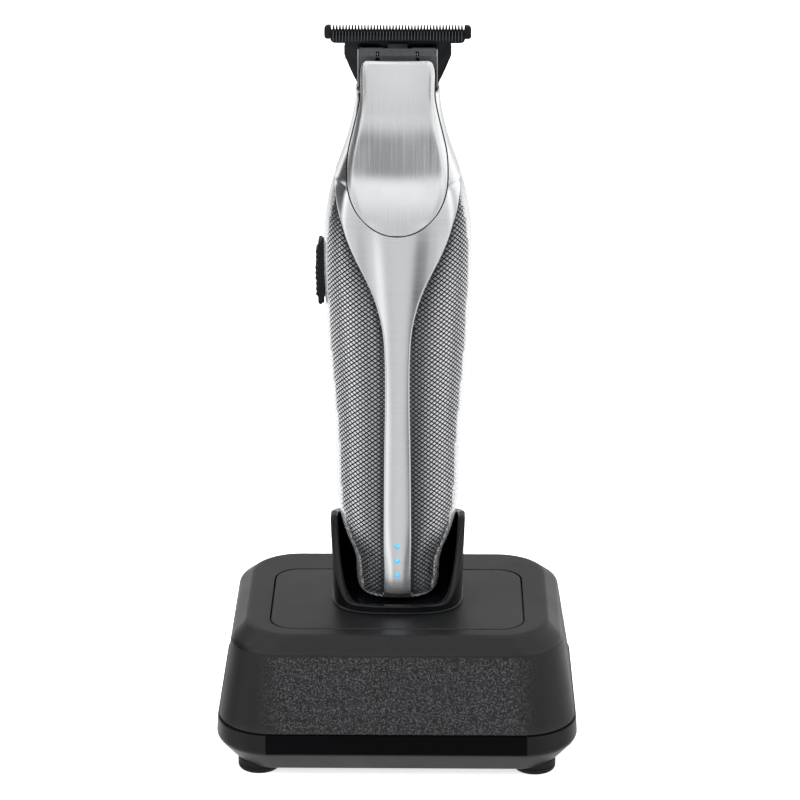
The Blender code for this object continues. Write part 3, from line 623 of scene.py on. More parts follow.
LID_METAL = brushed_metal(
    "lid_brushed", (0.84, 0.85, 0.865), 0.25, (3600, 45, 45), 0.85, 0.0, 0.05, 0.000002, flat=True
)
SPINE_METAL = brushed_metal(
    "spine_brushed", (0.80, 0.81, 0.825), 0.17, (45, 45, 3600), 0.7, 0.25, 0.03, 0.000002
)
# painted shade along the spine: near it the colour of these three grip finishes is scaled by 0.35, 0.03 and
# 2.6 (the grooves turn paler there)
SIDE_METAL = brushed_metal(
    "side_satin", (0.76, 0.77, 0.79), 0.26, 2500, 0, 0, 0.03, 0.000005, valley_shade_factor=0.35, metal=0.7
)
KNURL_METAL = brushed_metal(
    "knurl_faces", (0.80, 0.81, 0.83), 0.25, 2600, 0, 0, 0.08, 0.00001, valley_shade_factor=0.03, metal=0.88
)
GROOVE_METAL = brushed_metal("knurl_grooves", (0.04, 0.042, 0.047), 0.5, 2600, 0, 0, 0.2, valley_shade_factor=2.6)
# dark copy of the steel for the walls of the pocket round the lid: painted shade in that recess
GAP_PAINTED_SHADE = brushed_metal("gap_painted_shade", (0.03, 0.031, 0.034), 0.5, 2600, 0, 0, 0.2)
# the blades' much paler edges: partly wear, partly a painted highlight
BLADE_STEEL = brushed_metal(
    "blade_black_steel", (0.022, 0.023, 0.026), 0.34, (300, 300, 4200), 0, 0, 0.18, wear_and_highlight=2.4
)
# a lighter copy of the blade steel for the ribs' left flanks, which face the key light: a painted highlight
BLADE_LIT_FLANK = brushed_metal(
    "blade_lit_flank_painted", (0.13, 0.135, 0.145), 0.3, (300, 300, 4200), 0, 0, 0.25, wear_and_highlight=1.6
)
PIN_STEEL = brushed_metal("screw_steel", (0.60, 0.61, 0.63), 0.26, 1500, 0, 0, 0.1)
SPRING_STEEL = brushed_metal("spring_steel", (0.42, 0.43, 0.45), 0.3, (300, 300, 3000), 0, 0, 0.1)
GOLD = brushed_metal("contact_gold", (0.83, 0.60, 0.24), 0.26, 1800, 0, 0, 0.08)
MOTOR_STEEL = brushed_metal("motor_steel", (0.66, 0.67, 0.69), 0.3, (120, 120, 3600), 0, 0, 0.08)
WEIGHT_STEEL = brushed_metal("weight_steel", (0.10, 0.10, 0.11), 0.5, 500, 0, 0, 0.3)
NOSE_PLASTIC = moulded("nose_black", (0.004, 0.0043, 0.005), 0.24, 1500.0, 0.00002, 0.25, 0.3)
BAR_PLASTIC = moulded("nose_bar_grey", (0.038, 0.041, 0.044), 0.42, 1500.0, 0.00003)
SLIDER_PLASTIC = moulded("slider_black", (0.003, 0.0032, 0.0036), 0.5, 1800.0, 0.00003, 0.25, 0.25)
CUP_PLASTIC = moulded("cup_gloss_black", (0.003, 0.0034, 0.0042), 0.17, 700.0, 0.000012, 0.15, 0.32)
STRIP_PLASTIC = moulded("strip_gloss_black", (0.001, 0.0011, 0.0014), 0.12, 500.0, 0.000010, 0.15, 0.05)
PLATE_PLASTIC = moulded("dock_plate_fine_grain", (0.008, 0.0084, 0.0092), 0.34, 2700.0, 0.00008, 0.45, 0.45)
TOP_PLASTIC = moulded("dock_top_satin", (0.007, 0.0074, 0.0082), 0.36, 2300.0, 0.00004, 0.35, 0.42)
BAND_PLASTIC = moulded("dock_band_satin", (0.004, 0.0043, 0.005), 0.38, 2000.0, 0.00003, 0.25, 0.28)
WALL_PLASTIC = grained_wall()
RUBBER = moulded("foot_rubber", (0.004, 0.004, 0.0045), 0.62, 1300.0, 0.00006, 0.3, 0.3)
GREY_PLASTIC = moulded("inner_grey_plastic", (0.09, 0.095, 0.10), 0.5, 1400.0, 0.00005)
BLACK_INNER = moulded("inner_black_plastic", (0.016, 0.0165, 0.018), 0.45, 1400.0, 0.00005)
BATTERY_WRAP = moulded("battery_wrap", (0.05, 0.16, 0.42), 0.34, 400.0, 0.00004, 0.12, 0.5, 1.3)
LEAD_RED = moulded("lead_red_sleeve", (0.50, 0.03, 0.02), 0.42, 900.0, 0.00003, 0.15, 0.5, 1.2)
LEAD_BLACK = moulded("lead_black_sleeve", (0.018, 0.018, 0.019), 0.42, 900.0, 0.00003, 0.2)
BOARD = circuit_board()
LENS = lens_material()


# ================================================================ trimmer housing
def spine_arc(z, front):
    """Half the arc that the smooth spine covers at height z."""
    table = FRONT_SPINE if front else BACK_SPINE
    if z >= table[-1][0]:
        return half_arc(z, front)
    return arc_at_x(z, front, smooth_table(table, z, 1))


def knurled(s, z, front):
    """Whether a cell of the grip at (s, z) carries the diamond pattern."""
    if not KNURL_BOTTOM < z < KNURL_TOP:
        return False
    margin = 1.2 + 0.6 * (1.0 - ease(z, 55.0, 110.0))
    outer = arc_at_x(z, front, smooth_table(STATIONS, z, 1) - margin)
    inner = spine_arc(z, front) - 0.3
    return inner < abs(s) - KNURL_HALF * 0.4 and abs(s) + KNURL_HALF * 0.4 < outer


def grip_sink(s, z, front):
    """The grip dips along the spine, so that the spine's rounded edge stands above it."""
    away = abs(s) - spine_arc(z, front)
    return 0.62 * math.exp(-max(away, 0.0) / 3.2) if z < GRIP_TOP else 0.62


def valley_lightness(s, z, front):
    """Share of light on the grip: 0 and dark in the valley along the spine, where the colour is darkened as
    painted shade, 1 and bright outside.
    """
    away = max(abs(s) - spine_arc(z, front), 0.0)
    return 1.0 - math.exp(-away / 3.9)


def grip_shell(name, front, replaced):
    """The housing half under the spine: a skin of diamond cells, each with sloping sides and a flat face."""
    columns = 36
    rows = int((GRIP_TOP + 2.0 - BODY_BOTTOM) / KNURL_RISE) + 3
    bottom = BODY_BOTTOM - 2 * KNURL_RISE
    around = ((1, 0), (0, 1), (-1, 0), (0, -1))
    cells = {}
    for j in range(rows):
        for i in range(-columns, columns + 1):
            if (i + j) % 2:
                s = i * KNURL_HALF
                z = bottom + j * KNURL_RISE
                level = min(max(z, BODY_BOTTOM), GRIP_TOP)
                if spine_arc(z, front) - 2.6 < abs(s) < half_arc(level, front) + 2.0:
                    cells[(i, j)] = knurled(s, z, front)
    low_nodes = set()
    grooves = set()
    for (i, j), marked in cells.items():
        if marked:
            corners = [(i + a, j + b) for a, b in around]
            low_nodes.update(corners)
            grooves.update(frozenset((corners[k], corners[(k + 1) % 4])) for k in range(4))
    shape = bmesh.new()
    nodes = {}

    def corner(key):
        if key not in nodes:
            drop = -KNURL_DEPTH if key in low_nodes else 0.0
            nodes[key] = shape.verts.new((key[0] * KNURL_HALF, bottom + key[1] * KNURL_RISE, drop))
        return nodes[key]

    for i, j in cells:
        keys = [(i + a, j + b) for a, b in around]
        outer = [corner(key) for key in keys]
        inner = [
            shape.verts.new((
                (i + a * KNURL_KEEP) * KNURL_HALF, bottom + (j + b * KNURL_KEEP) * KNURL_RISE, 0.0,
            ))
            for a, b in around
        ]
        shape.faces.new(inner).material_index = 1 if cells[(i, j)] else 0
        for k in range(4):
            n = (k + 1) % 4
            face = shape.faces.new((outer[k], outer[n], inner[n], inner[k]))
            border = not cells[(i, j)] and keys[k] in low_nodes and keys[n] in low_nodes
            groove = frozenset((keys[k], keys[n])) in grooves
            face.material_index = 2 if groove or border else 0
    for vert in shape.verts:
        vert.co.x /= half_arc(min(max(vert.co.y, BODY_BOTTOM), GRIP_TOP), front)
    limits = (
        ((1.0, 0.0, 0.0), (1.0, 0.0, 0.0)),
        ((-1.0, 0.0, 0.0), (-1.0, 0.0, 0.0)),
        ((0.0, BODY_BOTTOM, 0.0), (0.0, -1.0, 0.0)),
        ((0.0, GRIP_TOP, 0.0), (0.0, 1.0, 0.0)),
    )
    for point, normal in limits:
        geometry = shape.verts[:] + shape.edges[:] + shape.faces[:]
        bmesh.ops.bisect_plane(
            shape, geom=geometry, plane_co=point, plane_no=normal, clear_outer=True, dist=1e-5
        )
    # painted shade: each face's tone attribute darkens its colour towards the spine
    tone = shape.faces.layers.float.new("tone")
    for face in shape.faces:
        u, z, _ = face.calc_center_median()
        face[tone] = valley_lightness(u * half_arc(z, front), z, front)
    for vert in shape.verts:
        u, z, drop = vert.co
        s = u * half_arc(z, front)
        x, y, z = skin_point(s, z, front, drop - grip_sink(s, z, front))
        vert.co = (x * MM, y * MM, z * MM)
    bmesh.ops.recalc_face_normals(shape, faces=shape.faces)
    mesh = bpy.data.meshes.new(name)
    shape.to_mesh(mesh)
    shape.free()
    obj = new_object(name, mesh, SIDE_METAL, KNURL_METAL, GROOVE_METAL)
    if (obj.data.polygons[0].normal.y > 0) == front:
        obj.data.flip_normals()
    solid = obj.modifiers.new("thickness", "SOLIDIFY")
    solid.thickness = 1.3 * MM
    solid.offset = -1.0
    solid.material_offset = 0
    apply_all(obj, 30.0)
    box_cut(obj, (-26.0, -12.0), SLIDER_SLOT[:2], SLIDER_SLOT[2:], 30.0)
    return settle(obj, replaced, "trimmer")


def spine_ring(z, front, end_drop=0.0):
    """The closed section of the spine's plate at height z, with rounded long edges."""
    reach = spine_arc(z, front)
    roll = ((0.0, -1.7), (0.0, -0.62), (0.05, -0.36), (0.17, -0.16), (0.36, -0.04), (0.6, 0.0))
    outer = [(-reach + a, h) for a, h in roll]
    outer += [(s, 0.0) for s in spread(reach - 0.6, 44)[1:-1]]
    outer += [(reach - a, h) for a, h in reversed(roll)]
    inner = [((reach - 0.9) * (1 - 2 * k / 8), -1.7) for k in range(1, 8)]
    return [skin_point(s, z, front, h - end_drop) for s, h in outer + inner]


def spine_plate(name, front, bottom, replaced):
    """The smooth stem and goblet that stand over the grip, up to the top of the housing."""
    heights = [bottom, bottom + 0.08, bottom + 0.25, bottom + 0.55, bottom + 1.0]
    drops = [0.6, 0.3, 0.1, 0.0, 0.0]
    z = bottom + 2.0
    while z < BODY_TOP - 1.0:
        heights.append(z)
        drops.append(0.0)
        z += 1.0
    for back, drop in ((1.0, 0.0), (0.5, 0.02), (0.2, 0.12), (0.0, 0.35)):
        heights.append(BODY_TOP - back)
        drops.append(drop)
    rings = [spine_ring(z, front, drop) for z, drop in zip(heights, drops)]
    obj = loft(name, rings, [SPINE_METAL], 40.0)
    return settle(obj, replaced, "trimmer")


def front_y(x, z, height):
    """Y of the front skin at (x, z), standing off by the height."""
    s = arc_at_x(z, True, abs(x))
    point = skin_point(s, z, True, height)
    return point[1]


def lid_y(x, z, height):
    """Y of the lid: an even arch, with a rolled border that meets the skin along the lid's outline."""
    half = max(lid_half(z), 0.5)
    middle = front_y(0.0, z, height)
    fall = front_y(half, z, height) - middle
    even = min(LID_ARCH * half * half, fall)
    share = min(abs(x) / half, 1.2)
    border = max(share - 0.84, 0.0) / 0.16
    return middle + even * share ** 2 + (fall - even) * border ** 2


def tip_arc(rise, gap=0.0):
    """Half width of the lid's round lower tip, or of the pocket that has this gap round it."""
    diameter, share = LID_TIP
    return math.sqrt(max(rise * (diameter + 2 * gap - rise), 0.0)) * share


def lid_half(z):
    """Half width of the lid at height z, round at its lower tip and at its upper corners."""
    table = tuple(sorted(LID_OUTLINE))
    rise = z - table[0][0]
    half = smooth_table(table, z, 1)
    if z < 156.0:
        arc = tip_arc(rise)
        half = max(arc + (half - arc) * ease(rise, 1.5, 5.0), 0.06)
    if z > LID_CORNER_Z:
        up = (z - LID_CORNER_Z) / 1.8
        half = 9.5 - 1.5 * (1.0 - math.sqrt(max(1.0 - up ** 2, 0.0)))
    return half


def lid_rows():
    """Rows of the lid from its lower tip up: height, half width and how far the rounded end has dropped."""
    table = tuple(sorted(LID_OUTLINE))
    tip = table[0][0]
    top = table[-1][0]
    heights = [tip + a for a in (0.0, 0.04, 0.12, 0.25, 0.45, 0.7, 1.0, 1.4, 1.9, 2.4)]
    z = tip + 3.0
    while z < LID_CORNER_Z:
        heights.append(z)
        z += 0.8
    heights += [195.5, 195.9, 196.3, 196.6, 196.8, 196.93, top]
    rows = []
    for z in heights:
        rise = z - tip
        end = min(rise, top - z)
        drop = 0.3 * (1.0 - math.sqrt(max(1.0 - (1.0 - min(end / 0.4, 1.0)) ** 2, 0.0)))
        rows.append((z, lid_half(z), drop))
    return rows


def make_lid():
    """The lid, with a rolled edge, standing a little proud of the skin."""
    roll = ((0.0, 1.0), (0.04, 0.55), (0.12, 0.25), (0.24, 0.08), (0.4, 0.0))
    proud = 0.27
    under = 0.9
    rings = []
    for z, half, drop in lid_rows():
        edge = [(half - min(inset, half * 0.5), fall) for inset, fall in roll]
        across = [(-x, fall) for x, fall in edge]
        across += [(x, 0.0) for x in spread(max(half - 0.4, half * 0.5), 40)[1:-1]]
        across += edge[::-1]
        ring = [(x, lid_y(x, z, proud - 0.32 * fall - drop), z) for x, fall in across]
        for k in range(9):
            x = half * (1 - 2 * k / 8)
            ring.append((x, lid_y(x, z, -under), z))
        rings.append(ring)
    lid = loft("lid_plate", rings, [LID_METAL], 40.0)
    settle(lid, "front_lid", "trimmer")


def make_front():
    grip_shell("front_grip", True, "front_housing")
    spine = spine_plate("front_spine", True, BODY_BOTTOM + 0.6, "front_housing")
    # pocket under the lid, a little wider than the lid
    gap = 0.32
    tip = lid_rows()[0][0]
    heights = [tip - gap + a for a in (0.0, 0.02, 0.06, 0.14, 0.26)] + [row[0] for row in lid_rows()]
    rings = []
    for z in heights:
        rise = z - tip + gap
        arc = tip_arc(rise, gap)
        half = max(arc + (lid_half(z) + gap - arc) * ease(rise, 1.8, 5.3), 0.06)
        across = [half * (2 * k / 28 - 1) for k in range(29)]
        level = max(z, tip)
        ring = [(x, lid_y(x, level, 3.0), z) for x in across]
        rings.append(ring + [(-x, lid_y(x, level, -1.25), z) for x in across])
    rings.append([(x, y, 200.0) for x, y, z in rings[-1]])
    # the pocket's walls that the cut leaves on the spine take the dark steel: painted shade round the lid
    pocket = loft("pocket", rings, [SPINE_METAL, GAP_PAINTED_SHADE])
    pocket.data.polygons.foreach_set("material_index", [1] * len(pocket.data.polygons))
    spine.data.materials.append(GAP_PAINTED_SHADE)
    cut(spine, pocket, 40.0)
    for name in ("status_light_1", "status_light_2", "status_light_3"):
        centre = middle_mm(name)
        drill(spine, 0.68, -6.0, 6.0, (centre.x, -10.0, centre.z), angle=40.0)
    make_lid()


def make_back():
    grip_shell("back_grip", False, "back_housing")
    spine = spine_plate("back_spine", False, BODY_BOTTOM + 0.6, "back_housing")
    for name, seat in (("housing_screw_lower", 11.6), ("housing_screw_upper", 14.5)):
        low, high = box_mm(name)
        centre = (low + high) / 2
        drill(spine, 2.6, seat, 26.0, (centre.x, 0.0, centre.z), "Y", 40, 40.0)
        head = screw_head(name + "_head", (centre.x, high.y - 1.4, centre.z), 2.2, 1.4)
        settle(head, name, "trimmer")


def screw_head(name, centre, radius, height):
    """A pan head with a cross recess, facing along Y."""
    profile = [
        (0.0, -9.0), (0.9, -9.0), (0.9, 0.0), (radius - 0.08, 0.0), (radius, 0.1),
        (radius, height * 0.55), (radius * 0.93, height * 0.82), (radius * 0.78, height * 0.96),
        (0.0, height),
    ]
    head = turned(name, profile, centre, "Y", [PIN_STEEL], 48)
    spans = (centre[1] + height * 0.35, centre[1] + height + 1.0)
    arm = radius * 0.56
    slim = radius * 0.13
    for a, b in ((arm, slim), (slim, arm)):
        box_cut(head, (centre[0] - a, centre[0] + a), spans, (centre[2] - b, centre[2] + b))
    return head


make_front()
make_back()


# ================================================================ nose and blades
def make_nose():
    """Black block between the cheeks with a paler ledge, two notches and a wing at each side."""
    low, high = box_mm("nose_bracket")
    front, top = low.y, high.z
    right = [(10.8, 188.4), (12.95, 193.2), (14.3, 196.5), (14.3, top - 0.4)]
    wing_line = right + [(-x, z) for x, z in reversed(right)]
    wings = prism("wings", rounded_outline(wing_line, 0.25, 3), (1.6, 8.6), NOSE_PLASTIC)
    bevel(wings, 0.4, 3)
    below = [(0.9, 192.9), (3.6, 187.0), (0.9, 187.0)]
    cut(wings, rail("lower", below, (-16.0, 16.0), NOSE_PLASTIC))
    body = block("body", (-10.2, 10.2), (front, 2.0), (188.7, 195.4), NOSE_PLASTIC)
    bevel(body, 0.3, 2)
    plug = loft(
        "plug",
        [
            [skin_point(s, z, True, -2.4) for s in spread(half_arc(z, True) - 2.6, 24)]
            + [skin_point(s, z, False, -2.4) for s in reversed(spread(half_arc(z, False) - 2.6, 24))]
            for z in (182.0, 185.0, 188.2)
        ],
        [NOSE_PLASTIC],
    )
    box_cut(plug, (-7.0, 7.0), (-14.0, 8.0), (180.0, 187.6))
    box_cut(plug, (-14.0, 14.0), (-16.0, -4.5), (180.0, 190.0))
    neck = block("neck", (-6.5, 6.5), (3.0, 8.4), (187.6, 189.6), NOSE_PLASTIC)
    for part in (body, plug, neck):
        join(wings, part)
    nose = wings
    reach = 3.8
    box_cut(nose, (-reach, reach), (-3.3, 1.6), (180.0, 202.0))
    for side in (-1, 1):
        x = side * SCREW_X
        drill(nose, 1.25, -8.0, 14.0, (x, 0.0, SCREW_Z))
        drill(nose, 2.1, 7.0, 14.0, (x, 0.0, SCREW_Z))
    nose.name = "nose_wings"
    settle(nose, "nose_bracket", "trimmer")

    # bar that clamps the blades, with a sloping ledge above and a notch round each screw
    profile = [
        (front, 193.9), (front, 197.6), (front + 0.12, 197.85), (front + 0.55, 198.35),
        (front + 1.0, top - 0.1), (front + 1.4, top), (-2.5, top), (-2.5, 193.9),
    ]
    bar = rail("nose_bar", profile, (-10.15, 10.15), BAR_PLASTIC, 20.0)
    box_cut(bar, (-reach, reach), (-3.3, 1.6), (190.0, 202.0))
    for side in (-1, 1):
        x = side * SCREW_X
        shape = [
            (x - 1.0, 194.6), (x + 1.0, 194.6), (x + 1.0, 195.9), (x + 0.42, 197.0),
            (x + 0.42, 198.6), (x - 0.42, 198.6), (x - 0.42, 197.0), (x - 1.0, 195.9),
        ]
        cut(bar, prism("notch", shape, (-8.0, -3.35), BAR_PLASTIC))
        drill(bar, 1.25, -3.4, 4.0, (x, 0.0, SCREW_Z))
    bevel(bar, 0.1, 2, 50.0)
    steady(bar)
    settle(bar, "nose_bracket", "trimmer")

    # thin bright side plates at the bar's ends
    corners = [(-4.3, 189.0), (-0.4, 189.0), (-0.4, 199.3), (-3.4, 199.3), (-4.6, 197.9), (-4.6, 190.0)]
    outline = rounded_outline(corners, 0.7, 4)
    for side, name in ((-1, "left"), (1, "right")):
        stops = (side * 10.28, side * 10.62)
        plate = rail("nose_side_" + name, outline, stops, SPRING_STEEL, 30.0)
        bevel(plate, 0.06, 2)
        settle(plate, "nose_bracket", "trimmer")


TOOTH_PITCH = 0.83
TOOTH_COUNT = 42
TOOTH_CENTRES = [(i - (TOOTH_COUNT - 1) / 2.0) * TOOTH_PITCH for i in range(TOOTH_COUNT)]


def tooth_line(root_z, tip_z, root_share, tip_share):
    """The toothed edge from left to right: slim teeth with rounded ends and gullets."""
    depth = tip_z - root_z
    root = TOOTH_PITCH * root_share
    tip = TOOTH_PITCH * tip_share
    half = (
        (root, root_z), (root * 0.8, root_z + depth * 0.14), (tip, tip_z - depth * 0.12),
        (tip * 0.5, tip_z),
    )
    points = []
    for centre in TOOTH_CENTRES:
        points += [(centre - a, z) for a, z in half]
        points += [(centre + a, z) for a, z in reversed(half)]
    return points


def make_blades():
    low, high = box_mm("fixed_blade")
    half = high.x
    tip = high.z
    ear_in = 17.75
    ear = [
        (-ear_in, 201.25), (-half + 0.7, 201.25), (-half + 0.3, 201.4), (-half + 0.07, 201.7),
        (-half, 202.1), (-half, tip - 0.9), (-half + 0.25, tip - 0.3), (-half + 0.8, tip),
        (-ear_in, tip), (-ear_in + 0.12, 203.5),
    ]
    left = [(-14.0, low.z), (-14.0, 201.25)] + ear
    outline = left + tooth_line(203.5, tip, 0.42, 0.2) + [(-x, z) for x, z in reversed(left)]
    fixed = prism("blade_fixed", outline, (low.y, high.y), BLADE_STEEL)
    for side in (-1, 1):
        drill(fixed, 1.2, -4.0, 4.0, (side * SCREW_X, 0.0, SCREW_Z))
    bevel(fixed, 0.09, 2, 50.0)
    settle(fixed, "fixed_blade", "trimmer")

    low, high = box_mm("moving_blade")
    half = high.x
    left = [
        (-half + 1.5, low.z), (-half + 0.8, low.z + 0.1), (-half + 0.3, low.z + 0.45),
        (-half + 0.05, low.z + 1.0), (-half, low.z + 1.5), (-half, high.z - 1.2),
    ]
    right = [(-x, z) for x, z in reversed(left)]
    outline = left + tooth_line(high.z - 1.3, high.z, 0.36, 0.2) + right
    moving = prism("blade_moving", outline, (low.y + 0.25, high.y), BLADE_STEEL)
    bevel(moving, 0.07, 2, 50.0)
    ribs = [moving]
    for centre in TOOTH_CENTRES:
        rings = []
        face = low.y + 0.25
        for z, width, proud in (
            (low.z + 0.25, 0.05, 0.0), (low.z + 0.5, 0.2, 0.22), (low.z + 0.9, 0.25, 0.36),
            (high.z - 1.0, 0.23, 0.36), (high.z - 0.35, 0.17, 0.26), (high.z - 0.12, 0.1, 0.1),
        ):
            rings.append([
                (centre - width, face + 0.1, z), (centre - width, face - proud * 0.35, z),
                (centre - width * 0.55, face - proud * 0.88, z), (centre, face - proud, z),
                (centre + width * 0.55, face - proud * 0.88, z),
                (centre + width, face - proud * 0.35, z), (centre + width, face + 0.1, z),
            ])
        rib = loft("rib", rings, [BLADE_STEEL, BLADE_LIT_FLANK], 60.0)
        # the flanks facing left and forward take the lighter steel: a painted highlight along each rib
        for face in rib.data.polygons:
            face.material_index = 1 if face.normal.x < -0.2 and face.normal.y < -0.1 else 0
        ribs.append(rib)
    moving = merge("blade_moving", ribs, BLADE_STEEL)
    moving.data.materials.append(BLADE_LIT_FLANK)
    moving.name = "blade_moving"
    settle(moving, "moving_blade", "blade_drive")

    # the leaf ends under the moving blade's lower edge
    profile = [
        (-3.0, 195.6), (-2.7, 195.6), (-2.7, 199.3), (-2.35, 199.9), (-2.35, 200.3),
        (-2.6, 200.3), (-2.65, 200.0), (-3.0, 199.4),
    ]
    leaf = rail("spring_leaf", profile, (-2.6, 2.6), BLADE_STEEL)
    bevel(leaf, 0.06, 2)
    settle(leaf, "tension_spring", "trimmer")

    for side in ("left", "right"):
        node = "blade_screw_" + side
        low, high = box_mm(node)
        centre = (low + high) / 2
        head_y = high.y - 1.3
        screw = screw_head(node + "_full", (centre.x, head_y, centre.z), 1.8, 1.3)
        shank = turned(
            "shank",
            ((0.0, low.y), (0.3, low.y), (0.36, low.y + 0.1), (0.38, low.y + 0.9), (0.9, low.y + 1.2),
             (0.9, head_y), (0.0, head_y)),
            (centre.x, 0.0, centre.z), "Y", [PIN_STEEL], 32,
        )
        screw = merge(node + "_full", [screw, shank], PIN_STEEL)
        settle(screw, node, "trimmer")


# ================================================================ slider and lights
def make_slider():
    low, high = box_mm("power_slider")
    inner = -20.55
    face = -21.75
    bottom = low.z + 0.6
    top = high.z - 0.6
    outline = [(inner, bottom + 0.25), (inner - 0.25, bottom)]
    outline += [(face + 0.55, bottom), (face + 0.12, bottom + 0.3), (face, bottom + 0.9)]
    count = 9
    for i in range(count):
        centre = bottom + 2.85 + i * (top - bottom - 5.7) / (count - 1)
        crest = 0.75 if 3 <= i <= 5 else 0.6
        outline.append((face, centre - 0.5))
        for step in range(1, 8):
            turn = math.pi * step / 8
            outline.append((face - crest * math.sin(turn) ** 0.6, centre - 0.34 * math.cos(turn)))
        outline.append((face, centre + 0.5))
    outline += [(face, top - 0.9), (face + 0.12, top - 0.3), (face + 0.55, top)]
    outline += [(inner - 0.25, top), (inner, top - 0.25)]
    pad = prism("slider_button", outline, (SPLIT_Y - 3.4, SPLIT_Y + 3.4), SLIDER_PLASTIC)
    bevel(pad, 0.15, 2, 60.0)
    neck = block(
        "neck", (-20.8, -16.6), (SPLIT_Y - 1.0, SPLIT_Y + 1.0), (133.6, 138.4), SLIDER_PLASTIC
    )
    join(pad, neck)
    for low_y, high_y in ((SPLIT_Y - 3.4, SPLIT_Y - 2.5), (SPLIT_Y + 2.5, SPLIT_Y + 3.4)):
        skirt = block("skirt", (-20.9, -20.0), (low_y, high_y), (bottom + 0.5, top - 0.5), SLIDER_PLASTIC)
        join(pad, skirt)
    settle(pad, "power_slider", "power_slider_body")


def make_lights():
    for i in (1, 2, 3):
        node = "status_light_%d" % i
        centre = middle_mm(node)
        place = (centre.x, front_y(0.0, centre.z, 0.0) + 0.02, centre.z)
        profile = (
            (0.0, 6.0), (0.6, 6.0), (0.6, 0.3), (0.55, 0.18), (0.42, 0.08), (0.2, 0.02), (0.0, 0.0),
        )
        lens = turned("light_lens_%d" % i, profile, place, "Y", [LENS], 40)
        settle(lens, node, "trimmer")


# ================================================================ dock
# height, half width, half depth, corner radius
DOCK_TOP_FACE = (41.5, 41.7, 29.45, 13.2)
DOCK_SHOULDER = (37.5, 45.9, 33.65, 14.2)
DOCK_SEAM = (15.15, 49.6, 37.3, 15.0)
BAND_TOP = (14.85, 49.95, 37.65, 15.0)
BAND_BOTTOM = (9.5, 50.3, 38.0, 15.2)
DOCK_UNDERSIDE = (2.3, 44.5, 32.2, 11.0)
DOCK_WALL = 2.2
ARC_STEPS = 14
# how far along its two straight runs a rounded corner reaches
CORNER_SHARE = 0.9
PLATE_CENTRE = (0.0, -3.8)
# X, Y and Z ranges of the opening for the contact block
CONTACT_WINDOW = ((-9.8, 9.8), (-2.8, 6.8), (30.0, 50.0))


def between(low, high, z):
    """The dock's level at height z, on the straight line between two levels."""
    share = (z - low[0]) / (high[0] - low[0])
    return (z,) + tuple(a + share * (b - a) for a, b in zip(low[1:], high[1:]))


def dock_ring(level, inset=0.0, z=None):
    height, half_x, half_y, radius = level
    outline = rounded_rectangle(half_x - inset, half_y - inset, radius - inset * 0.8, ARC_STEPS)
    return [(x, y, height if z is None else z) for x, y in outline]


def corner_rings(before, corner, after, steps):
    """Rings that round the dock's profile at a corner between two straight runs."""
    start = [c + (b - c) * CORNER_SHARE for b, c in zip(before, corner)]
    end = [c + (a - c) * CORNER_SHARE for a, c in zip(after, corner)]
    rings = []
    for k in range(steps + 1):
        t = k / steps
        rings.append(dock_ring([
            (1 - t) ** 2 * a + 2 * t * (1 - t) * b + t * t * c for a, b, c in zip(start, corner, end)
        ]))
    return rings


def plate_ring(grow, z):
    outline = rounded_rectangle(35.0 + grow, 21.05 + grow, 6.8 + grow, ARC_STEPS, PLATE_CENTRE)
    return [(x, y, z) for x, y in outline]


def four_posts(name, radius, low, high, material):
    rods = []
    for number in (1, 2, 3, 4):
        a, b = box_mm("dock_screw_%d" % number)
        centre = ((a.x + b.x) / 2, (a.y + b.y) / 2, 0.0)
        rods.append(turned(
            name, ((0.0, low), (radius, low), (radius, high), (0.0, high)), centre, "Z", [material], 28
        ))
    return merge(name, rods, material)


def make_dock_shell():
    inner_top = (41.5, 40.6, 28.35, 12.3)
    rings = [
        dock_ring(DOCK_TOP_FACE, DOCK_WALL + 1.0, 38.1), dock_ring(DOCK_SHOULDER, DOCK_WALL, 36.3),
        dock_ring(DOCK_SEAM, DOCK_WALL), dock_ring(DOCK_SEAM, 0.12),
    ]
    for z in (15.3, 18.0, 22.0, 26.0, 30.0, 33.5):
        rings.append(dock_ring(between(DOCK_SEAM, DOCK_SHOULDER, z)))
    low = between(DOCK_SEAM, DOCK_SHOULDER, 36.4)
    high = between(DOCK_SHOULDER, DOCK_TOP_FACE, 38.5)
    rings += corner_rings(low, DOCK_SHOULDER, high, 5)
    low = between(DOCK_SHOULDER, DOCK_TOP_FACE, 40.9)
    rings += corner_rings(low, DOCK_TOP_FACE, inner_top, 5)
    for grow, z in ((0.62, 41.5), (0.42, 41.45), (0.34, 41.3), (0.32, 39.6)):
        rings.append(plate_ring(grow, z))
    shell = loft("dock_shell", rings, [WALL_PLASTIC, TOP_PLASTIC], 24.0)
    box_cut(shell, *CONTACT_WINDOW, 24.0)
    join(shell, four_posts("post", 3.2, 5.3, 39.0, WALL_PLASTIC), 24.0)
    cut(shell, four_posts("bore", 1.6, 3.0, 16.0, WALL_PLASTIC), 24.0)
    box_cut(shell, (-5.6, 5.6), (30.0, 42.0), (18.2, 27.8), 24.0)
    for face in shell.data.polygons:
        if face.center.z > 37.3 * MM:
            face.material_index = 1
    steady(shell)
    settle(shell, "dock_housing", "dock")


def make_dock_plate():
    low, high = box_mm("dock_top_plate")
    rings = [plate_ring(-0.1, low.z), plate_ring(0.0, low.z + 0.15)]
    for grow, down in ((0.0, 0.35), (-0.06, 0.15), (-0.2, 0.03), (-0.4, 0.0), (-6.0, 0.0)):
        rings.append(plate_ring(grow, high.z - down))
    plate = loft("dock_plate", rings, [PLATE_PLASTIC], 30.0)
    box_cut(plate, *CONTACT_WINDOW)
    steady(plate)
    settle(plate, "dock_top_plate", "dock")


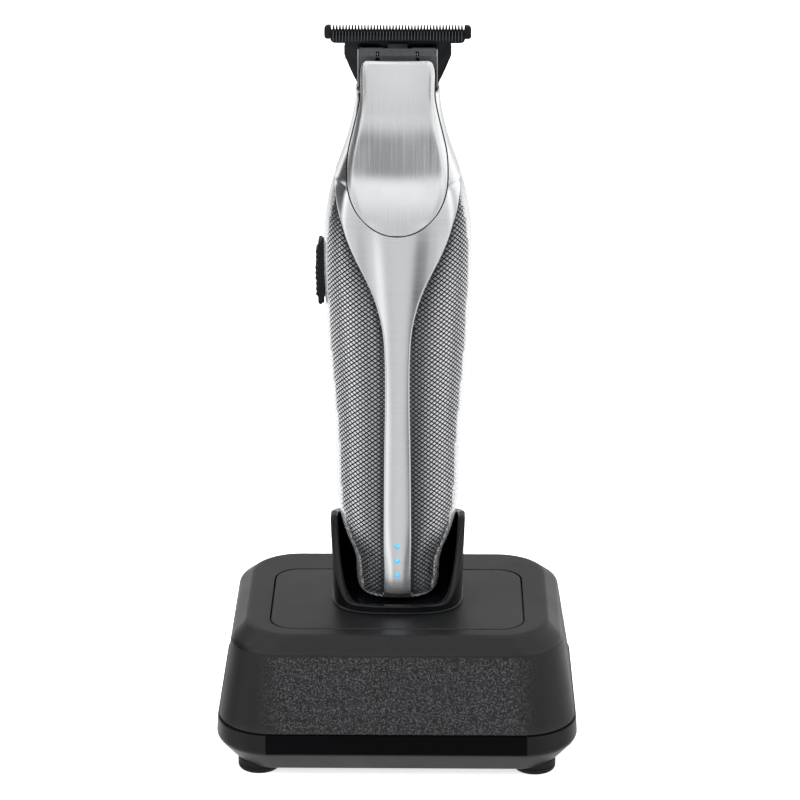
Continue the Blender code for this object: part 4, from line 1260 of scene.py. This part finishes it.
def make_dock_base():
    rings = [
        dock_ring(DOCK_UNDERSIDE, 0.8, 4.9), dock_ring(BAND_BOTTOM, DOCK_WALL),
        dock_ring(BAND_TOP, DOCK_WALL), dock_ring(BAND_TOP, 0.3), dock_ring(BAND_TOP, 0.08, 14.78),
        dock_ring(between(BAND_BOTTOM, BAND_TOP, 14.6)),
        dock_ring(between(BAND_BOTTOM, BAND_TOP, 12.0)),
    ]
    low = between(BAND_BOTTOM, BAND_TOP, 10.6)
    high = between(DOCK_UNDERSIDE, BAND_BOTTOM, 8.3)
    rings += corner_rings(low, BAND_BOTTOM, high, 5)
    low = between(DOCK_UNDERSIDE, BAND_BOTTOM, 3.0)
    flat = (2.3, 43.6, 31.3, 10.3)
    rings += corner_rings(low, DOCK_UNDERSIDE, flat, 4)
    base = loft("dock_base", rings, [BAND_PLASTIC], 24.0)
    low, high = box_mm("front_trim_strip")
    box_cut(base, (low.x - 0.2, high.x + 0.2), (-45.0, high.y + 0.3), (9.2, 16.0), 24.0)
    for number in (1, 2, 3, 4):
        low, high = box_mm("dock_foot_%d" % number)
        centre = ((low.x + high.x) / 2, (low.y + high.y) / 2, 0.0)
        radius = (high.x - low.x) / 2 + 0.3
        drill(base, radius, -1.0, high.z + 0.3, centre, "Z", 48, 24.0)
    cut(base, four_posts("bore", 1.6, 0.0, 8.0, BAND_PLASTIC), 24.0)
    cut(base, four_posts("seat", 2.8, 0.0, 3.7, BAND_PLASTIC), 24.0)
    steady(base)
    settle(base, "dock_bottom_cover", "dock")


def make_dock_strip():
    low, high = box_mm("front_trim_strip")
    lean = BAND_BOTTOM[2] - BAND_TOP[2]
    profile = [(low.y, low.z), (high.y, low.z), (high.y, high.z), (low.y + lean, high.z)]
    strip = rail("dock_strip", profile, (low.x, -12.0, 12.0, high.x), STRIP_PLASTIC, 30.0)
    bevel(strip, 0.12, 3)
    steady(strip)
    settle(strip, "front_trim_strip", "dock")


def make_feet():
    for number in (1, 2, 3, 4):
        node = "dock_foot_%d" % number
        low, high = box_mm(node)
        radius = (high.x - low.x) / 2
        centre = ((low.x + high.x) / 2, (low.y + high.y) / 2, 0.0)
        profile = (
            (0.0, 0.25), (radius * 0.55, 0.25), (radius * 0.6, 0.0), (radius - 0.7, 0.0),
            (radius - 0.3, 0.1), (radius - 0.08, 0.4), (radius, 0.8), (radius, 1.35),
            (radius - 0.18, 1.5), (radius - 0.18, 1.8), (radius, 1.95), (radius, high.z - 0.2),
            (radius - 0.2, high.z), (0.0, high.z),
        )
        foot = turned("foot_%d" % number, profile, centre, "Z", [RUBBER], 64)
        settle(foot, node, "dock")


# ---------------------------------------------------------------- cradle
CRADLE_HALF = (18.1, 16.3)
CRADLE_CENTRE_Y = 1.2
CRADLE_SQUARENESS = 3.2
CRADLE_FLARE = 0.8
CRADLE_LIP_Z = 44.0
CRADLE_PRONG_Z = 65.4
CRADLE_WALL = 2.0
CRADLE_FLOOR = (41.8, 42.9)
CRADLE_SEAT_Z = 43.7
CRADLE_SEGMENTS = 160


def cradle_ring(z, inset, follow_rim=0.0, drop=0.0):
    """A ring of the cup. Its height follows the rim by the given share."""
    half, depth = CRADLE_HALF
    n = CRADLE_SQUARENESS
    ring = []
    for i in range(CRADLE_SEGMENTS):
        angle = 2.0 * math.pi * (i + 0.5) / CRADLE_SEGMENTS
        c, s = math.cos(angle), math.sin(angle)
        reach = ((abs(c) / half) ** n + (abs(s) / depth) ** n) ** (-1.0 / n)
        x, y = reach * c, reach * s
        rise = ease(y + CRADLE_CENTRE_Y, -13.8, -0.6)
        dip = max(y - 2.0, 0.0) / depth
        rim = CRADLE_LIP_Z + (CRADLE_PRONG_Z - CRADLE_LIP_Z) * (rise - 0.22 * dip) - drop
        height = z + follow_rim * (rim - z)
        flare = CRADLE_FLARE * (height - CRADLE_FLOOR[0]) / (CRADLE_PRONG_Z - CRADLE_FLOOR[0])
        sx = (half - inset + flare) / half
        sy = (depth - inset) / depth
        ring.append((x * sx, y * sy + CRADLE_CENTRE_Y, height))
    return ring


def make_cradle():
    low, high = CRADLE_FLOOR
    wall = CRADLE_WALL
    inside = (
        (CRADLE_SEAT_Z, 9.4), (CRADLE_SEAT_Z - 0.15, 9.1), (high + 0.1, 9.0), (high, 8.7),
        (high, wall + 0.9), (high + 0.1, wall + 0.35), (high + 0.35, wall),
    )
    rings = [cradle_ring(z, inset) for z, inset in inside]
    rings += [cradle_ring(high, wall, share) for share in (0.2, 0.4, 0.6, 0.8)]
    for k in range(9):
        turn = math.pi * k / 8
        inset = wall / 2 + wall / 2 * math.cos(turn)
        rings.append(cradle_ring(high, inset, 1.0, 0.62 * (1.0 - math.sin(turn))))
    for share in (0.8, 0.6, 0.4, 0.2):
        rings.append(cradle_ring(low, 0.0, share))
    rings += [cradle_ring(low + 0.25, 0.0), cradle_ring(low + 0.05, -0.35), cradle_ring(low, -0.4)]
    cup = loft("cradle_cup", rings, [CUP_PLASTIC], 50.0)
    for node in ("charging_pin_left", "charging_pin_right"):
        centre = middle_mm(node)
        drill(cup, 1.15, 38.0, 50.0, (centre.x, centre.y, 0.0), "Z", angle=50.0)
    settle(cup, "cradle", "dock")


# ================================================================ inner parts keep their CAD shape
INNER_FINISH = (
    (MOTOR_STEEL, "motor_can motor_rotor switch_module"),
    (GREY_PLASTIC, "motor_bracket drive_yoke switch_carrier contact_block"),
    (GOLD, "eccentric_cam trimmer_contact_left trimmer_contact_right"),
    (GOLD, "charging_pin_left charging_pin_right"),
    (BATTERY_WRAP, "battery_cell"),
    (BOARD, "main_circuit_board dock_circuit_board"),
    (LEAD_RED, "motor_lead_red"),
    (LEAD_BLACK, "motor_lead_black"),
    (BLACK_INNER, "tail_cap"),
    (PIN_STEEL, "dock_screw_1 dock_screw_2 dock_screw_3 dock_screw_4"),
    (SPRING_STEEL, "pin_spring_left pin_spring_right"),
    (WEIGHT_STEEL, "dock_weight"),
    (CUP_PLASTIC, "charger_inlet"),
)


def finish_inner():
    for material, names in INNER_FINISH:
        for name in names.split():
            for slot in NODES[name].material_slots:
                slot.material = material


make_nose()
make_blades()
make_slider()
make_lights()
make_dock_shell()
make_dock_plate()
make_dock_base()
make_dock_strip()
make_feet()
make_cradle()
finish_inner()


# ================================================================ floor and studio light
def make_floor():
    shape = bmesh.new()
    bmesh.ops.create_grid(shape, x_segments=4, y_segments=4, size=6.0)
    mesh = bpy.data.meshes.new("floor")
    shape.to_mesh(mesh)
    shape.free()
    material, tree, shader = principled("floor_paper", Roughness=0.9, Specular_IOR_Level=0.1)
    grain = noise(tree, 40.0, 3.0, 0.5)
    base = blend(tree, grain, (0.90, 0.90, 0.90, 1.0), (0.93, 0.93, 0.93, 1.0))
    link(tree, shader.inputs["Base Color"], base)
    link(tree, shader.inputs["Emission Color"], base)
    shader.inputs["Emission Strength"].default_value = 0.75
    floor = new_object("floor", mesh, material)
    floor.visible_glossy = False


def ramp(tree, value, stops):
    node = add(tree, "ValToRGB", {"Fac": value})
    bar = node.color_ramp
    bar.interpolation = "EASE"
    while len(bar.elements) > 1:
        bar.elements.remove(bar.elements[-1])
    for k, (place, tone) in enumerate(stops):
        element = bar.elements[0] if k == 0 else bar.elements.new(place)
        element.position = place
        element.color = (tone, tone, tone, 1.0)
    return node.outputs["Color"]


def elevation_ramp(tree, up, stops):
    return ramp(tree, up, [((math.sin(math.radians(a)) + 1.0) / 2.0, tone) for a, tone in stops])


def azimuth_ramp(tree, around, stops):
    return ramp(tree, around, [((a + 180.0) / 360.0, tone) for a, tone in stops])


def make_world():
    """A white studio, whose walls have soft strips that the metal shows. The camera sees plain white."""
    world = bpy.data.worlds.new("studio")
    SCENE.world = world
    world.use_nodes = True
    tree = world.node_tree
    tree.nodes.clear()
    direction = add(tree, "TexCoord").outputs["Generated"]
    parts = add(tree, "SeparateXYZ", {"Vector": direction})
    back = times(tree, parts.outputs["Y"], -1.0)
    turn = math_node(tree, "ARCTAN2", parts.outputs["X"], back)
    around = ranged(tree, turn, -math.pi, math.pi, 0.0, 1.0)
    up = ranged(tree, parts.outputs["Z"], -1.0, 1.0, 0.0, 1.0)
    height = elevation_ramp(tree, up, [
        (-90, 0.5), (-40, 0.56), (-22, 0.60), (-16, 0.70), (-10, 0.76), (-5, 0.98),
        (-1, 0.88), (4, 0.8), (9, 0.85), (14, 0.85), (40, 0.8), (90, 0.7),
    ])
    # what the flat front of an upright part shows: bright, a dim band, bright again
    bands = elevation_ramp(tree, up, [
        (-19, 0.28), (-14, 0.29), (-8, 0.38), (-4.8, 0.66), (-1.2, 0.28), (1.5, 0.11),
        (4.0, 0.09), (6.8, 0.20), (8.3, 0.30), (9.6, 0.58), (13, 0.54), (20, 0.45),
    ])
    side = azimuth_ramp(tree, around, [
        (-180, 0.95), (-140, 0.95), (-112, 0.6), (-92, 0.45), (-72, 0.85), (-50, 0.62),
        (-34, 0.44), (-21, 0.62), (-13, 1.0), (-6, 0.50), (0, 0.60), (6, 0.58),
        (14, 0.13), (20, 0.19), (30, 0.46), (48, 0.64), (75, 0.72), (95, 0.42),
        (120, 0.62), (150, 0.95), (180, 0.95),
    ])
    tone = add(tree, "Mix", data_type="RGBA", blend_type="MULTIPLY")
    link(tree, tone.inputs["Factor"], 1.0)
    link(tree, tone.inputs[6], height)
    link(tree, tone.inputs[7], side)
    level = elevation_ramp(tree, up, [(-20, 0.0), (-15, 1.0), (12, 1.0), (18, 0.0)])
    ahead = ranged(tree, math_node(tree, "ABSOLUTE", turn, 0.0), 1.05, 1.4, 1.0, 0.0, "SMOOTHSTEP")
    lit_tone = blend(tree, times(tree, level, ahead), tone.outputs[2], bands)
    # a dark strip at the left, which the trimmer's left shoulder shows
    strip = azimuth_ramp(tree, around, [(-150, 1.0), (-132, 0.08), (-88, 0.08), (-74, 1.0)])
    reach = elevation_ramp(tree, up, [(-16, 0.0), (-8, 1.0), (28, 1.0), (45, 0.0)])
    dark = blend(tree, reach, (1.0, 1.0, 1.0, 1.0), strip)
    # a dim wall high up behind, which the dock's top shows
    high = math.radians(24.0)
    aim = (0.0, math.cos(high), math.sin(high))
    near = add(tree, "VectorMath", {0: direction, 1: aim}, operation="DOT_PRODUCT").outputs["Value"]
    edge, core = math.cos(math.radians(60.0)), math.cos(math.radians(20.0))
    behind = ranged(tree, near, edge, core, 1.0, 0.36, "SMOOTHSTEP")
    dark = times(tree, dark, behind)
    lit = add(tree, "Background", {"Color": lit_tone})
    link(tree, lit.inputs["Strength"], times(tree, dark, 2.1))
    white = add(tree, "Background", {"Color": (1.0, 1.0, 1.0, 1.0), "Strength": 1.0})
    seen = add(tree, "LightPath").outputs["Is Camera Ray"]
    both = add(tree, "MixShader", {0: seen, 1: lit.outputs[0], 2: white.outputs[0]})
    add(tree, "OutputWorld", {"Surface": both.outputs[0]})


def soft_light(name, place, target, size, power):
    data = bpy.data.lights.new(name, "AREA")
    data.shape = "RECTANGLE"
    data.size, data.size_y = size
    data.energy = power
    obj = bpy.data.objects.new(name, data)
    SCENE.collection.objects.link(obj)
    obj.location = place
    aim = Vector(target) - Vector(place)
    obj.rotation_mode = "QUATERNION"
    obj.rotation_quaternion = aim.to_track_quat("-Z", "Y")
    obj.visible_glossy = False
    return obj


make_floor()
make_world()
soft_light("key", (-0.75, -0.75, 1.05), (0.0, 0.0, 0.08), (0.5, 0.5), 7.0)
soft_light("fill", (0.9, -0.6, 0.7), (0.0, 0.0, 0.08), (0.6, 0.6), 3.5)
soft_light("top", (0.0, 0.5, 1.3), (0.0, 0.0, 0.05), (0.9, 0.5), 8.0)
SCENE.view_settings.view_transform = "Standard"
